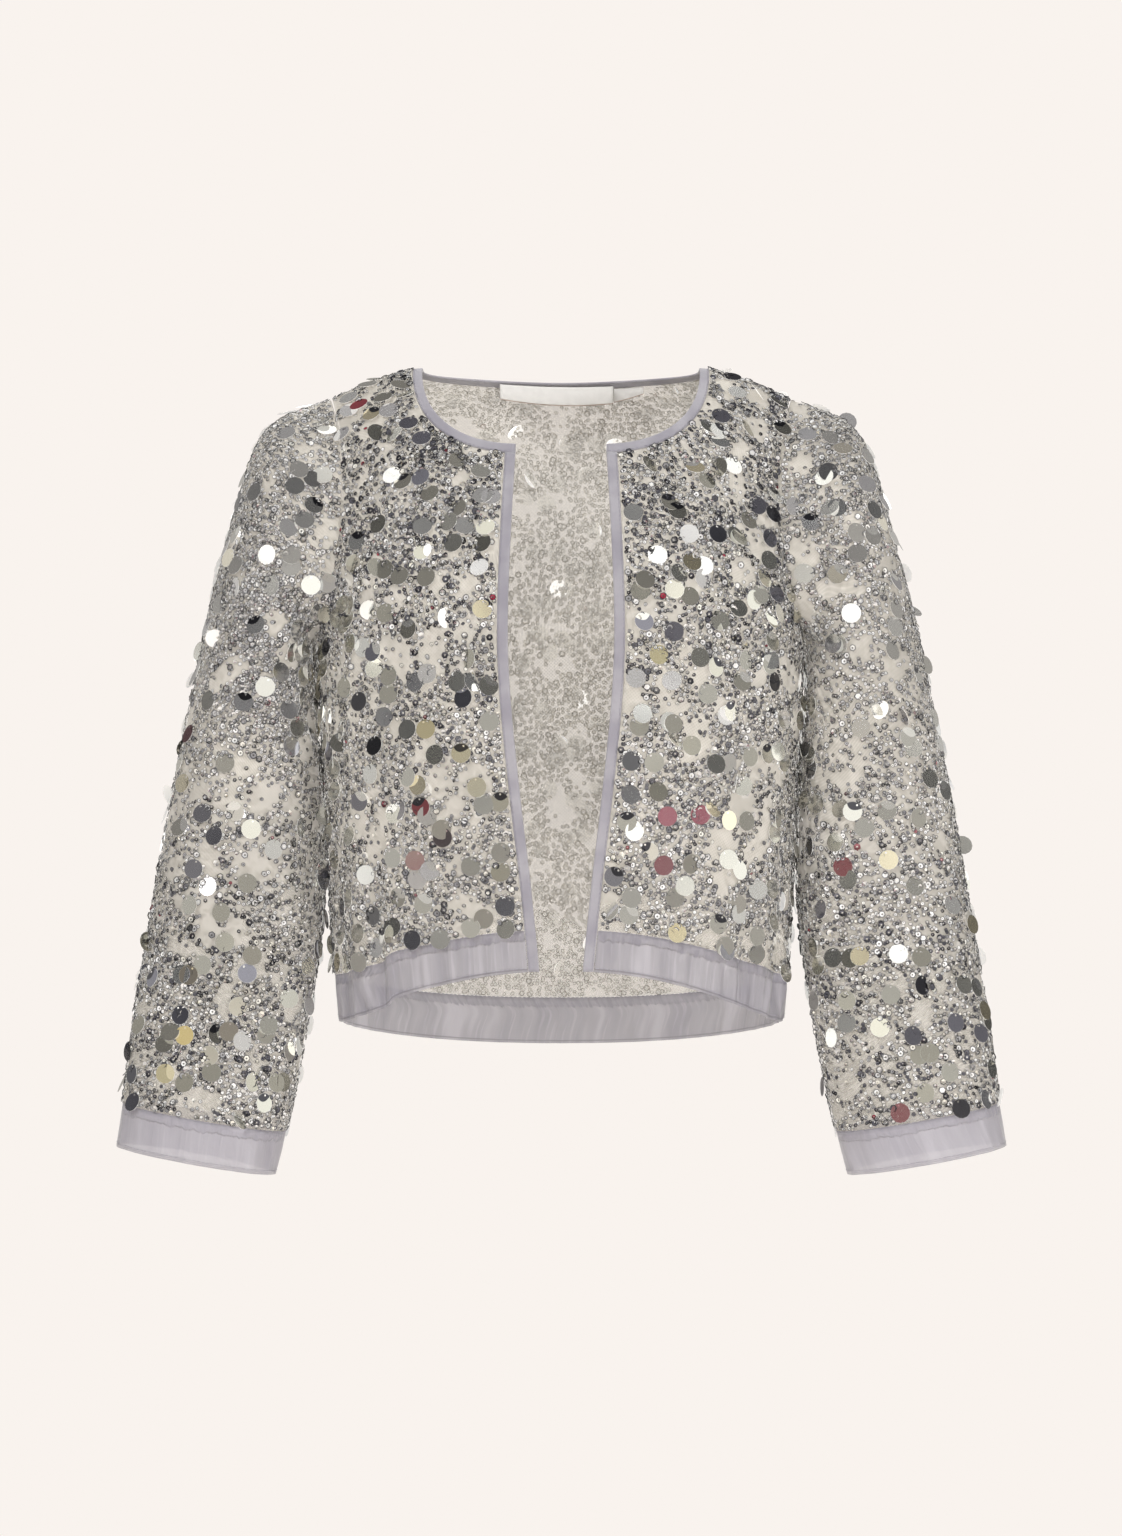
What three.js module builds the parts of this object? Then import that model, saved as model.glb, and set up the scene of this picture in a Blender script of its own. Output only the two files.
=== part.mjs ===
// A cropped, open-front jacket with seven-eighth sleeves, cut from sequinned net and bound with sheer bands.
// It stands open and filled out, as it is worn. Every cloth is a wall with its real outer face.
// Millimetres: +X to the wearer's left, -Y to the front, +Z up. Heights in the tables below are measured
// from the points where the neckline meets the shoulder seams.
// The origin lies midway between the shoulders, level with the middle of the shoulder seams.
import * as THREE from "three";

const NECK_POINT_RISE = 10; // the neckline's shoulder points lie this far above the origin
const NET_WALL = 1.4; // net with its small sequins
const BAND_WALL = 1.2; // folded double sheer band
const BINDING_WALL = 1.6; // narrow binding, four layers of sheer
const LABEL_WALL = 1;
const SEAM_GAP = 0.3;

// Body sections: half_width to each side, front and back depth from the side seams.
const BODY_SECTIONS = [
  { height: -190, half_width: 168, front: 120, back: 112 },
  { height: -235, half_width: 167, front: 121, back: 109 },
  { height: -300, half_width: 164, front: 116, back: 105 },
  { height: -360, half_width: 161, front: 110, back: 103 },
  { height: -424, half_width: 157.5, front: 106, back: 105 },
  { height: -480, half_width: 153, front: 104, back: 108 },
];
const BODY_SQUARENESS = 2.2; // exponent of the body's oval, 2 for an ellipse
const BODY_SIDE_Y = -8; // the side seams lie this far in front of the shoulder seams
const UNDERARM_HEIGHT = -190;
const FRONT_ROUNDING = 1.6; // how the front runs from chest to shoulder, low for a flat slope
const BACK_ROUNDING = 2.8;

// The shoulder line, from the middle of the body outwards.
const SHOULDER_LINE = [
  { x: 0, height: 0 },
  { x: 97, height: 0 },
  { x: 130, height: -9 },
  { x: 160, height: -22 },
  { x: 190, height: -36 },
];
// The armhole's distance from the middle, by its share of the way from the underarm to the shoulder.
const ARMHOLE = [
  { share: 0, x: 168 },
  { share: 0.08, x: 163.3 },
  { share: 0.16, x: 158.8 },
  { share: 0.25, x: 154.5 },
  { share: 0.35, x: 151.5 },
  { share: 0.5, x: 150 },
  { share: 0.7, x: 151 },
  { share: 0.85, x: 154.5 },
  { share: 1, x: 160 },
];
// Half the gap between the two front edges.
const FRONT_EDGE = [
  { height: -480, x: 11 },
  { height: -417, x: 15.5 },
  { height: -360, x: 21 },
  { height: -300, x: 28 },
  { height: -235, x: 34.5 },
  { height: -190, x: 36.5 },
  { height: -130, x: 35 },
  { height: -50, x: 31 },
];

const NECK_CORNER_X = 31; // where the neckline starts at the front edge
const NECK_HALF_WIDTH = 97.5;
const FRONT_NECK_DROP = 59.5;
const BACK_NECK_DROP = 6.5;
const NECK_SQUARENESS = 2.25;
const BINDING_SIDE = 5.8; // the neck binding's width, seen from the front
const BINDING_BACK_DROP = 3.2; // and at the back of the neck, where the cloth lies nearly level
const FRONT_BINDING_WIDTH = 6.5;

// The seam over the hem band, and the band's lower edge: height at the sides, rise to the front and
// drop to the back.
const HEM_SEAM = { side: -424, rise: 35, drop: 22 };
const HEM_EDGE = { side: -457, rise: 40, drop: 22 };
const HEM_BEND = { front: 2.3, back: 1.2 }; // how late the hem leaves its height at the sides
const BAND_JOIN_X = 118; // the band's joins lie in front of the side seams
const SIDE_SEAM_GAP = THREE.MathUtils.degToRad(0.05);

// Sleeve sections, from the armhole to the cuff's edge: outer and inner point seen from the front,
// half the depth from front to back, and the middle's place from front to back.
const SLEEVE_SECTIONS = [
  { outer_x: 160, outer_z: -22, inner_x: 168, inner_z: -190, depth: 52, middle_y: -6 },
  { outer_x: 181, outer_z: -30, inner_x: 169.6, inner_z: -194, depth: 55, middle_y: -6 },
  { outer_x: 196, outer_z: -37, inner_x: 170.6, inner_z: -198, depth: 58, middle_y: -6.5 },
  { outer_x: 207, outer_z: -48, inner_x: 171.2, inner_z: -203, depth: 60, middle_y: -7 },
  { outer_x: 214, outer_z: -61, inner_x: 171.4, inner_z: -209, depth: 61, middle_y: -7 },
  { outer_x: 221, outer_z: -82, inner_x: 171.6, inner_z: -217, depth: 61.5, middle_y: -7.5 },
  { outer_x: 228, outer_z: -108, inner_x: 171.6, inner_z: -228, depth: 61, middle_y: -8 },
  { outer_x: 238, outer_z: -145, inner_x: 171.2, inner_z: -242, depth: 60, middle_y: -8 },
  { outer_x: 249, outer_z: -191, inner_x: 170, inner_z: -260, depth: 58.5, middle_y: -9 },
  { outer_x: 261, outer_z: -250, inner_x: 167.8, inner_z: -285, depth: 56, middle_y: -10 },
  { outer_x: 271.5, outer_z: -303, inner_x: 165.8, inner_z: -327, depth: 53, middle_y: -11 },
  { outer_x: 280.5, outer_z: -355, inner_x: 165.6, inner_z: -374, depth: 50, middle_y: -13 },
  { outer_x: 289, outer_z: -409, inner_x: 172, inner_z: -429, depth: 47, middle_y: -16 },
  { outer_x: 297, outer_z: -461, inner_x: 181, inner_z: -482, depth: 44, middle_y: -20 },
  { outer_x: 304, outer_z: -511.5, inner_x: 191, inner_z: -531.5, depth: 42, middle_y: -24 },
  { outer_x: 308.5, outer_z: -541.5, inner_x: 198.5, inner_z: -561.5, depth: 40, middle_y: -26 },
];
const CUFF_SECTION = 14; // the section where the cuff band is sewn on
const CUFF_SEAM = 0.01; // of the section's length, about 0.3 mm
const SLEEVE_SQUARENESS = 2.15;
const CAP_REACH = 3.2; // sections over which the armhole's own shape fades out
const ARMHOLE_SEAM = 0.5; // the sleeve starts this far from the body's cloth

// Soft folds of the body, the same on both sides. turn: degrees from the front's middle to the side and
// back. Levels: 0 is the hem seam, 1 the underarm, 2 the shoulder. The fold leans by lean degrees from its
// bottom to its top.
const BODY_FOLDS = [
  { turn: 40, low: -0.4, high: 0.8, width: 5, depth: 1.8, lean: -5 },
  { turn: 58, low: -0.9, high: 1.1, width: 4.5, depth: 2.8, lean: 1 },
  { turn: 70, low: -1, high: 0.7, width: 4, depth: -2.2, lean: -4 },
  { turn: 62, low: 1, high: 1.6, width: 5, depth: 1.8, lean: -8 },
  { turn: 125, low: -0.7, high: 0.9, width: 5.5, depth: 2.4, lean: 4 },
  { turn: 150, low: -0.5, high: 0.6, width: 6, depth: -1.8, lean: -3 },
  { turn: 178, low: -0.9, high: 0.4, width: 6, depth: 1.6, lean: 2 },
];
// Soft folds of a sleeve. turn: degrees round it from the outside over the front. section counts the rows
// of the table above. The fold winds by lean degrees over its length.
const SLEEVE_FOLDS = [
  { turn: 150, section: 6.5, length: 3, width: 16, depth: 2.6, lean: -25 },
  { turn: 128, section: 10.8, length: 2.6, width: 13, depth: 2.8, lean: 42 },
  { turn: 100, section: 12.2, length: 2, width: 12, depth: 1.9, lean: -30 },
  { turn: 62, section: 8.2, length: 2.8, width: 15, depth: 1.8, lean: 20 },
  { turn: 212, section: 8.4, length: 3, width: 15, depth: 2.4, lean: 30 },
  { turn: 240, section: 11.4, length: 2.4, width: 14, depth: 2.2, lean: -35 },
  { turn: 300, section: 7.2, length: 2.6, width: 16, depth: 1.7, lean: -20 },
  { turn: 20, section: 12.8, length: 2, width: 13, depth: 1.4, lean: 15 },
];

// Labels hang from a line at a share (from) of the binding's width. Inwards and under are the steps from
// that line to their top edge, and belly is how far the lower edge sags.
const LABEL = {
  left: -43.4,
  right: 37,
  from: 0,
  inwards: 1.55,
  under: { left: 2.5, right: 3.7 },
  height: { left: 10.4, right: 12 },
  belly: 1.6,
  lean: 0.35,
};
const SIZE_TAB = {
  left: 37.6,
  right: 58.6,
  from: 1,
  inwards: 1.6,
  under: { left: 1.9, right: 1.9 },
  height: { left: 9.4, right: 5 },
  belly: 0.3,
  lean: 0.3,
};

// Steps along and across each cloth.
// Cloths that meet at a seam have the same steps along it.
const STEPS_UP = 24;
const FRONT_STEPS_ACROSS = 12;
const BACK_STEPS_ACROSS = 24;
const ARMHOLE_STEPS = 12; // each of front and back; the rest of the steps up are side seam
const NECK_STEPS = 8; // each front's share of the neckline, and each half of the back's
const SLEEVE_STEPS_ALONG = 22;
const BAND_STEPS = 3;
const HEM_BAND_STEPS = { front: 8, back: 34 };
const BINDING_STEPS_ACROSS = 2;
const LABEL_STEPS_ACROSS = 8;
const MOST_MITRE = 1.5; // a wall cut along a mitre is at most this many times as thick there
const ON_SHOULDER = 1.999; // from this level up a point lies on the shoulder seam
const SLOPE_STEP = 0.02; // step over which a surface's slope is read
const BESIDE_ARMHOLE = 0.3; // sleeve row at which its slope beside the armhole is read

const NET = new THREE.MeshStandardMaterial({ color: 0xcfcbc0, roughness: 0.35, metalness: 0.4 });
const SHEER = new THREE.MeshStandardMaterial({ color: 0xb9b5bf, roughness: 0.6, metalness: 0 });
const SATIN = new THREE.MeshStandardMaterial({ color: 0xf1efe9, roughness: 0.5, metalness: 0 });

// A smooth curve through a table's rows, by cubic pieces whose slopes are those of the neighbouring rows.
function readTable(rows, key, value, at) {
  const last = rows.length - 1;
  const up = rows[last][key] > rows[0][key] ? 1 : -1;
  let i = 0;
  while (i < last - 1 && (rows[i + 1][key] - at) * up < 0) i++;
  const slope = (k) => {
    const before = rows[Math.max(k - 1, 0)];
    const after = rows[Math.min(k + 1, last)];
    return (after[value] - before[value]) / (after[key] - before[key]);
  };
  const span = rows[i + 1][key] - rows[i][key];
  const t = THREE.MathUtils.clamp((at - rows[i][key]) / span, 0, 1);
  const [t2, t3] = [t * t, t * t * t];
  return (
    (2 * t3 - 3 * t2 + 1) * rows[i][value] +
    (t3 - 2 * t2 + t) * span * slope(i) +
    (3 * t2 - 2 * t3) * rows[i + 1][value] +
    (t3 - t2) * span * slope(i + 1)
  );
}

const signedPower = (value, power) => Math.sign(value) * Math.abs(value) ** power;
const shoulderHeight = (x) => readTable(SHOULDER_LINE, "x", "height", Math.abs(x));
const sectionSize = (height, value) =>
  readTable(BODY_SECTIONS, "height", value, Math.min(height, UNDERARM_HEIGHT));

// The hem seam or hem edge at a turn round the body, higher at the front and lower at the back.
function hemHeight(line, turn) {
  const c = Math.cos(turn);
  if (c > 0) return line.side + line.rise * c ** HEM_BEND.front;
  return line.side - line.drop * (-c) ** HEM_BEND.back;
}

// How far a set of folds moves the cloth outwards. Each is a soft ridge that dies at both ends.
function foldHeight(folds, turnDegrees, along, read) {
  let sum = 0;
  for (const fold of folds) {
    const { low, high } = read(fold);
    const share = (along - low) / (high - low);
    if (share <= 0 || share >= 1) continue;
    const middle = fold.turn + fold.lean * (share - 0.5);
    const away = (((turnDegrees - middle + 540) % 360) - 180) / fold.width;
    sum += fold.depth * Math.sin(Math.PI * share) ** 1.5 * Math.exp(-away * away);
  }
  return sum;
}

// A point of the body's outer face. turn: radians from the front's middle to the wearer's left.
// level: -1 at the hem edge, 0 at the hem seam, 1 at the underarm, 2 on the shoulder line.
function bodyPoint(turn, level) {
  const power = 2 / BODY_SQUARENESS;
  const [s, c] = [Math.sin(turn), Math.cos(turn)];
  const atSeam = hemHeight(HEM_SEAM, turn);
  let height = atSeam + (UNDERARM_HEIGHT - atSeam) * level;
  if (level < 0) height = atSeam + (atSeam - hemHeight(HEM_EDGE, turn)) * level;
  const depth = sectionSize(height, c > 0 ? "front" : "back");
  let x = sectionSize(height, "half_width") * signedPower(s, power);
  let y = BODY_SIDE_Y - depth * signedPower(c, power);
  if (level > 1) {
    const share = Math.min(level - 1, 1);
    const rounding = c > 0 ? FRONT_ROUNDING : BACK_ROUNDING;
    height = UNDERARM_HEIGHT + share * (shoulderHeight(x) - UNDERARM_HEIGHT);
    y *= (1 - share ** rounding) ** (1 / rounding);
    y -= (Math.sign(c) * share * SEAM_GAP) / 2;
  }
  const fold = foldHeight(BODY_FOLDS, THREE.MathUtils.radToDeg(turn), level, (f) => f);
  x += fold * s;
  y -= fold * c;
  return new THREE.Vector3(x, y, height);
}

// The turn at which the body's face is x to the side, at a height.
function turnAt(x, height) {
  const share = Math.abs(x) / sectionSize(height, "half_width");
  return Math.asin(Math.min(share, 1) ** (BODY_SQUARENESS / 2));
}

// Place on the front, as turn and level, of a point given by x and height above the underarm.
function frontPlace(x, height) {
  const level = 1 + (height - UNDERARM_HEIGHT) / (shoulderHeight(x) - UNDERARM_HEIGHT);
  return { turn: turnAt(x, UNDERARM_HEIGHT), level: Math.min(level, 2) };
}

// Turn and level of the front edge at a height, moved out from it by a distance.
function edgePlace(height, out) {
  const x = readTable(FRONT_EDGE, "height", "x", height) + out;
  if (height > UNDERARM_HEIGHT) return frontPlace(x, height);
  const turn = turnAt(x, height);
  const seam = hemHeight(HEM_SEAM, turn);
  const edge = hemHeight(HEM_EDGE, turn);
  const level = height > seam ? (height - seam) / (UNDERARM_HEIGHT - seam) : (height - seam) / (seam - edge);
  return { turn, level };
}

// The neckline, or a line beside it at a distance. Angle 0 is its lowest point, and a quarter turn is on
// the shoulder.
function neckPlace(angle, side, down, atBack) {
  const power = 2 / NECK_SQUARENESS;
  const start = atBack ? 0 : NECK_CORNER_X;
  const drop = (atBack ? BACK_NECK_DROP : FRONT_NECK_DROP) + down;
  const x = start + (NECK_HALF_WIDTH - start + side) * Math.sin(angle) ** power;
  const height = shoulderHeight(x) - drop * Math.max(Math.cos(angle), 0) ** power;
  const place = frontPlace(x, height);
  return atBack ? { turn: Math.PI - place.turn, level: place.level } : place;
}

// The armhole, by its angle: 0 on the shoulder, half a turn under the arm.
function armholePlace(angle, atBack) {
  const share = (1 + Math.cos(angle)) / 2;
  const x = readTable(ARMHOLE, "share", "x", share);
  const turn = Math.min(turnAt(x, UNDERARM_HEIGHT), Math.PI / 2 - SIDE_SEAM_GAP);
  return { turn: atBack ? Math.PI - turn : turn, level: 1 + share };
}

// Which way is out of a surface at a place, from how it runs both ways along it. last ends the second way.
function outOf(surface, a, b, last = Infinity) {
  const alongFirst = surface(a + SLOPE_STEP, b).sub(surface(a - SLOPE_STEP, b));
  const alongSecond = surface(a, Math.min(b + SLOPE_STEP, last)).sub(surface(a, b - SLOPE_STEP));
  return alongFirst.cross(alongSecond).normalize();
}

// A point of the body's cloth with its outward direction, which lies in the seam's plane on the shoulder.
function bodyCloth({ turn, level }) {
  const out = outOf(bodyPoint, turn, level, 2);
  if (level > ON_SHOULDER) out.setY(0).normalize();
  return { at: bodyPoint(turn, level), out };
}

// The direction in which body and sleeve are both cut at the armhole seam.
function armholeMitre(angle, own) {
  const { turn, level } = armholePlace(Math.min(angle, 2 * Math.PI - angle), angle > Math.PI);
  const mitre = outOf(bodyPoint, turn, level, 2).add(outOf(sleevePoint, angle, BESIDE_ARMHOLE));
  if (level > ON_SHOULDER) mitre.setY(0);
  mitre.normalize();
  return mitre.divideScalar(Math.max(mitre.dot(own), 1 / MOST_MITRE));
}

const mixPlace = (a, b, t) => ({
  turn: a.turn + (b.turn - a.turn) * t,
  level: a.level + (b.level - a.level) * t,
});

// A panel between four border lines that share their corners: each point mixes the borders' places.
function borderedPanel(inner, outer, bottom, top) {
  return (u, v) => {
    const sides = mixPlace(inner(v), outer(v), u);
    const ends = mixPlace(bottom(u), top(u), v);
    const corners = mixPlace(mixPlace(inner(0), outer(0), u), mixPlace(inner(1), outer(1), u), v);
    return bodyCloth({
      turn: sides.turn + ends.turn - corners.turn,
      level: sides.level + ends.level - corners.level,
    });
  };
}

// A grid of points as a sheet whose faces are seen from outside. closed joins its last column to its first.
function gridSheet(columns, rows, place, closed = false) {
  const across = closed ? columns : columns + 1;
  const points = [];
  const faces = [];
  for (let j = 0; j <= rows; j++) {
    for (let i = 0; i < across; i++) points.push(place(i / columns, j / rows));
  }
  for (let j = 0; j < rows; j++) {
    for (let i = 0; i < columns; i++) {
      const next = (i + 1) % across;
      faces.push([j * across + i, j * across + next, (j + 1) * across + next, (j + 1) * across + i]);
    }
  }
  return { points, faces };
}

// The same sheet on the wearer's other side.
const otherSide = (p) => new THREE.Vector3(-p.x, p.y, p.z);
const mirrored = (sheet) => ({
  points: sheet.points.map(({ at, out }) => ({ at: otherSide(at), out: otherSide(out) })),
  faces: sheet.faces.map((face) => [...face].reverse()),
});

// Gives a sheet its thickness, inwards from its outer face, and closes it along every open edge.
function clothWall(name, sheet, thickness, material) {
  const outside = sheet.points.map(({ at }) => at);
  const inside = sheet.points.map(({ at, out }) => at.clone().addScaledVector(out, -thickness));
  const count = sheet.points.length;
  const triangles = [];
  const open = new Map();
  const quad = (a, b, c, d) => triangles.push(a, b, c, a, c, d);
  for (const face of sheet.faces) {
    quad(...face);
    quad(...[...face].reverse().map((k) => k + count));
    face.forEach((from, k) => {
      const to = face[(k + 1) % face.length];
      if (!open.delete(`${to} ${from}`)) open.set(`${from} ${to}`, [from, to]);
    });
  }
  for (const [from, to] of open.values()) quad(to, from, from + count, to + count);
  const geometry = new THREE.BufferGeometry().setFromPoints([...outside, ...inside]);
  geometry.setIndex(triangles);
  geometry.computeVertexNormals();
  const mesh = new THREE.Mesh(geometry, material);
  mesh.name = name;
  return mesh;
}

// The neckline's angle at which the front's cloth starts, beside the front binding.
function frontNeckStart() {
  const reach = NECK_HALF_WIDTH - NECK_CORNER_X + BINDING_SIDE + SEAM_GAP;
  return Math.asin(((FRONT_BINDING_WIDTH + SEAM_GAP) / reach) ** (NECK_SQUARENESS / 2));
}

// The cloth's border with armhole and side seam: below the share it is the side seam.
function sideBorder(sideShare, sideTurn, bottomLevel, atBack) {
  return (v) => {
    if (v <= sideShare) return { turn: sideTurn, level: bottomLevel + ((1 - bottomLevel) * v) / sideShare };
    return armholePlace(Math.PI * (1 - (v - sideShare) / (1 - sideShare)), atBack);
  };
}

// Cuts a border column along the armhole on the seam's mitre.
function cutArmhole(sheet, columns, { column, onRight, atBack }) {
  for (let step = 0; step <= ARMHOLE_STEPS; step++) {
    const point = sheet.points[(STEPS_UP - ARMHOLE_STEPS + step) * (columns + 1) + column];
    const angle = Math.PI * (1 - step / ARMHOLE_STEPS);
    const own = onRight ? otherSide(point.out) : point.out;
    const mitre = armholeMitre(atBack ? 2 * Math.PI - angle : angle, own);
    point.out = onRight ? otherSide(mitre) : mitre;
  }
}

// One front, from its binding to the side seam, and from the hem seam to the shoulder seam.
function frontSheet() {
  const edgeShare = 1 - NECK_STEPS / STEPS_UP; // of the inner border, the rest is neckline
  const sideShare = 1 - ARMHOLE_STEPS / STEPS_UP; // of the outer border, the rest is armhole
  const bindingOut = FRONT_BINDING_WIDTH + SEAM_GAP;
  const neckOut = BINDING_SIDE + SEAM_GAP;
  const startAngle = frontNeckStart();
  const corner = neckPlace(startAngle, neckOut, neckOut, false);
  const cornerHeight = bodyPoint(corner.turn, corner.level).z;
  const bottomLevel = SEAM_GAP / (UNDERARM_HEIGHT - HEM_SEAM.side);
  const bottomHeight = hemHeight(HEM_SEAM, 0) + SEAM_GAP;
  const sideTurn = Math.PI / 2 - SIDE_SEAM_GAP;
  const inner = (v) => {
    if (v >= edgeShare) {
      const t = (v - edgeShare) / (1 - edgeShare);
      return neckPlace(startAngle + (Math.PI / 2 - startAngle) * t, neckOut, neckOut, false);
    }
    const t = v / edgeShare;
    return edgePlace(bottomHeight + (cornerHeight - bottomHeight) * t, bindingOut);
  };
  const outer = sideBorder(sideShare, sideTurn, bottomLevel, false);
  const bottom = (u) => mixPlace(inner(0), outer(0), u);
  const top = (u) => ({ turn: inner(1).turn + (outer(1).turn - inner(1).turn) * u, level: 2 });
  const sheet = gridSheet(FRONT_STEPS_ACROSS, STEPS_UP, borderedPanel(inner, outer, bottom, top));
  cutArmhole(sheet, FRONT_STEPS_ACROSS, { column: FRONT_STEPS_ACROSS, onRight: false, atBack: false });
  return sheet;
}

// Half of the back, from its middle to the side seam, and from the hem seam to the neckline and shoulder.
function halfBackPlace() {
  const sideShare = 1 - ARMHOLE_STEPS / STEPS_UP;
  const neckShare = NECK_STEPS / (BACK_STEPS_ACROSS / 2); // of the top border, the rest is shoulder seam
  const bottomLevel = SEAM_GAP / (UNDERARM_HEIGHT - HEM_SEAM.side);
  const sideTurn = Math.PI / 2 + SIDE_SEAM_GAP;
  const neckOut = BINDING_SIDE + SEAM_GAP;
  const neckDown = BINDING_BACK_DROP + SEAM_GAP / 2;
  const top = (u) => {
    if (u <= neckShare) return neckPlace(((Math.PI / 2) * u) / neckShare, neckOut, neckDown, true);
    const from = neckPlace(Math.PI / 2, neckOut, neckDown, true);
    return mixPlace(from, armholePlace(0, true), (u - neckShare) / (1 - neckShare));
  };
  const outer = sideBorder(sideShare, sideTurn, bottomLevel, true);
  const inner = (v) => ({ turn: Math.PI, level: bottomLevel + (top(0).level - bottomLevel) * v });
  const bottom = (u) => mixPlace(inner(0), outer(0), u);
  return borderedPanel(inner, outer, bottom, top);
}

// The whole back in one grid, from one side seam to the other.
function backSheet() {
  const half = halfBackPlace();
  const sheet = gridSheet(BACK_STEPS_ACROSS, STEPS_UP, (u, v) => {
    const share = 2 * u - 1;
    const { at, out } = half(Math.abs(share), v);
    return share > 0 ? { at: otherSide(at), out: otherSide(out) } : { at, out };
  });
  cutArmhole(sheet, BACK_STEPS_ACROSS, { column: 0, onRight: false, atBack: true });
  cutArmhole(sheet, BACK_STEPS_ACROSS, { column: BACK_STEPS_ACROSS, onRight: true, atBack: true });
  return sheet;
}

// A sleeve's section at a row number, read as a smooth curve through the table.
function sleeveSection(row) {
  const rows = SLEEVE_SECTIONS.map((section, k) => ({ ...section, row: k }));
  const read = (value) => readTable(rows, "row", value, row);
  return {
    outer: new THREE.Vector3(read("outer_x"), read("middle_y"), read("outer_z")),
    inner: new THREE.Vector3(read("inner_x"), read("middle_y"), read("inner_z")),
    depth: read("depth"),
  };
}

// A point of the section's plain oval: angle 0 outside, a quarter turn at the front.
function ovalPoint({ outer, inner, depth }, angle) {
  const power = 2 / SLEEVE_SQUARENESS;
  const middle = outer.clone().add(inner).multiplyScalar(0.5);
  return middle
    .addScaledVector(outer.clone().sub(inner), 0.5 * signedPower(Math.cos(angle), power))
    .addScaledVector(new THREE.Vector3(0, -1, 0), depth * signedPower(Math.sin(angle), power));
}

// A point of the left sleeve's outer face. Near the armhole the oval takes the armhole's shape.
function sleevePoint(anyAngle, row) {
  const angle = THREE.MathUtils.euclideanModulo(anyAngle, 2 * Math.PI);
  const section = sleeveSection(row);
  const point = ovalPoint(section, angle);
  const onBody = armholePlace(Math.min(angle, 2 * Math.PI - angle), angle > Math.PI);
  const armhole = bodyPoint(onBody.turn, onBody.level);
  const fade = THREE.MathUtils.smoothstep(CAP_REACH - row, 0, CAP_REACH);
  point.addScaledVector(armhole.sub(ovalPoint(sleeveSection(0), angle)), fade);
  const middle = section.outer.clone().add(section.inner).multiplyScalar(0.5);
  const fold = foldHeight(SLEEVE_FOLDS, THREE.MathUtils.radToDeg(angle), row, (f) => ({
    low: f.section - f.length / 2,
    high: f.section + f.length / 2,
  }));
  return point.addScaledVector(point.clone().sub(middle).normalize(), fold);
}

// A point of the sleeve's first ring: cut on the armhole's mitre, and set off from the body's cloth.
function sleeveStart(angle, own) {
  const out = armholeMitre(angle, own);
  const along = sleevePoint(angle + SLOPE_STEP, 0).sub(sleevePoint(angle - SLOPE_STEP, 0));
  const away = out.clone().cross(along).normalize();
  return { at: sleevePoint(angle, 0).addScaledVector(away, ARMHOLE_SEAM), out };
}

// The sleeve's cloth between two rows of its table.
function sleeveSheet(fromRow, toRow, along) {
  const place = (u, v) => {
    const angle = 2 * Math.PI * u;
    const row = fromRow + (toRow - fromRow) * v;
    const own = outOf(sleevePoint, angle, Math.max(row, BESIDE_ARMHOLE));
    return row === 0 ? sleeveStart(angle, own) : { at: sleevePoint(angle, row), out: own };
  };
  return gridSheet(2 * ARMHOLE_STEPS, along, place, true);
}

const sleeveCloth = () => sleeveSheet(0, CUFF_SECTION - CUFF_SEAM, SLEEVE_STEPS_ALONG);
const cuffBand = () => sleeveSheet(CUFF_SECTION, SLEEVE_SECTIONS.length - 1, BAND_STEPS);

// A strip of the hem band between two turns, its whole height or with its end on the front binding.
function hemBandSheet(fromTurn, toTurn, steps) {
  return gridSheet(steps, BAND_STEPS, (u, v) => {
    const level = v - 1;
    return bodyCloth({ turn: fromTurn(level) + (toTurn(level) - fromTurn(level)) * u, level });
  });
}

const bandJoinTurn = () => turnAt(BAND_JOIN_X, HEM_EDGE.side);
const bandGapTurn = () => SEAM_GAP / 2 / BODY_SECTIONS[0].front;

function frontHemBand() {
  const start = (level) => {
    const seam = hemHeight(HEM_SEAM, 0);
    const height = seam + (seam - hemHeight(HEM_EDGE, 0)) * level;
    return edgePlace(height, FRONT_BINDING_WIDTH + SEAM_GAP).turn;
  };
  return hemBandSheet(start, () => bandJoinTurn() - bandGapTurn(), HEM_BAND_STEPS.front);
}

function backHemBand() {
  const start = bandJoinTurn() + bandGapTurn();
  return hemBandSheet(
    () => start,
    () => 2 * Math.PI - start,
    HEM_BAND_STEPS.back,
  );
}

// The binding of one front edge, from the hem edge to just under the neck binding.
function frontBinding() {
  const top = -(FRONT_NECK_DROP + BINDING_SIDE + SEAM_GAP);
  const bottom = hemHeight(HEM_EDGE, turnAt(FRONT_EDGE[1].x, HEM_EDGE.side));
  return gridSheet(BINDING_STEPS_ACROSS, STEPS_UP, (u, v) => {
    const place = edgePlace(bottom + (top - bottom) * v, FRONT_BINDING_WIDTH * u);
    return bodyCloth({ turn: place.turn, level: Math.max(place.level, -1) });
  });
}

// The neckline's angles over one front, with the end of the front binding first.
function frontNeckAngles() {
  const start = frontNeckStart();
  const steps = [...Array(NECK_STEPS + 1).keys()];
  return [0, ...steps.map((k) => start + ((Math.PI / 2 - start) * k) / NECK_STEPS)];
}

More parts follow.
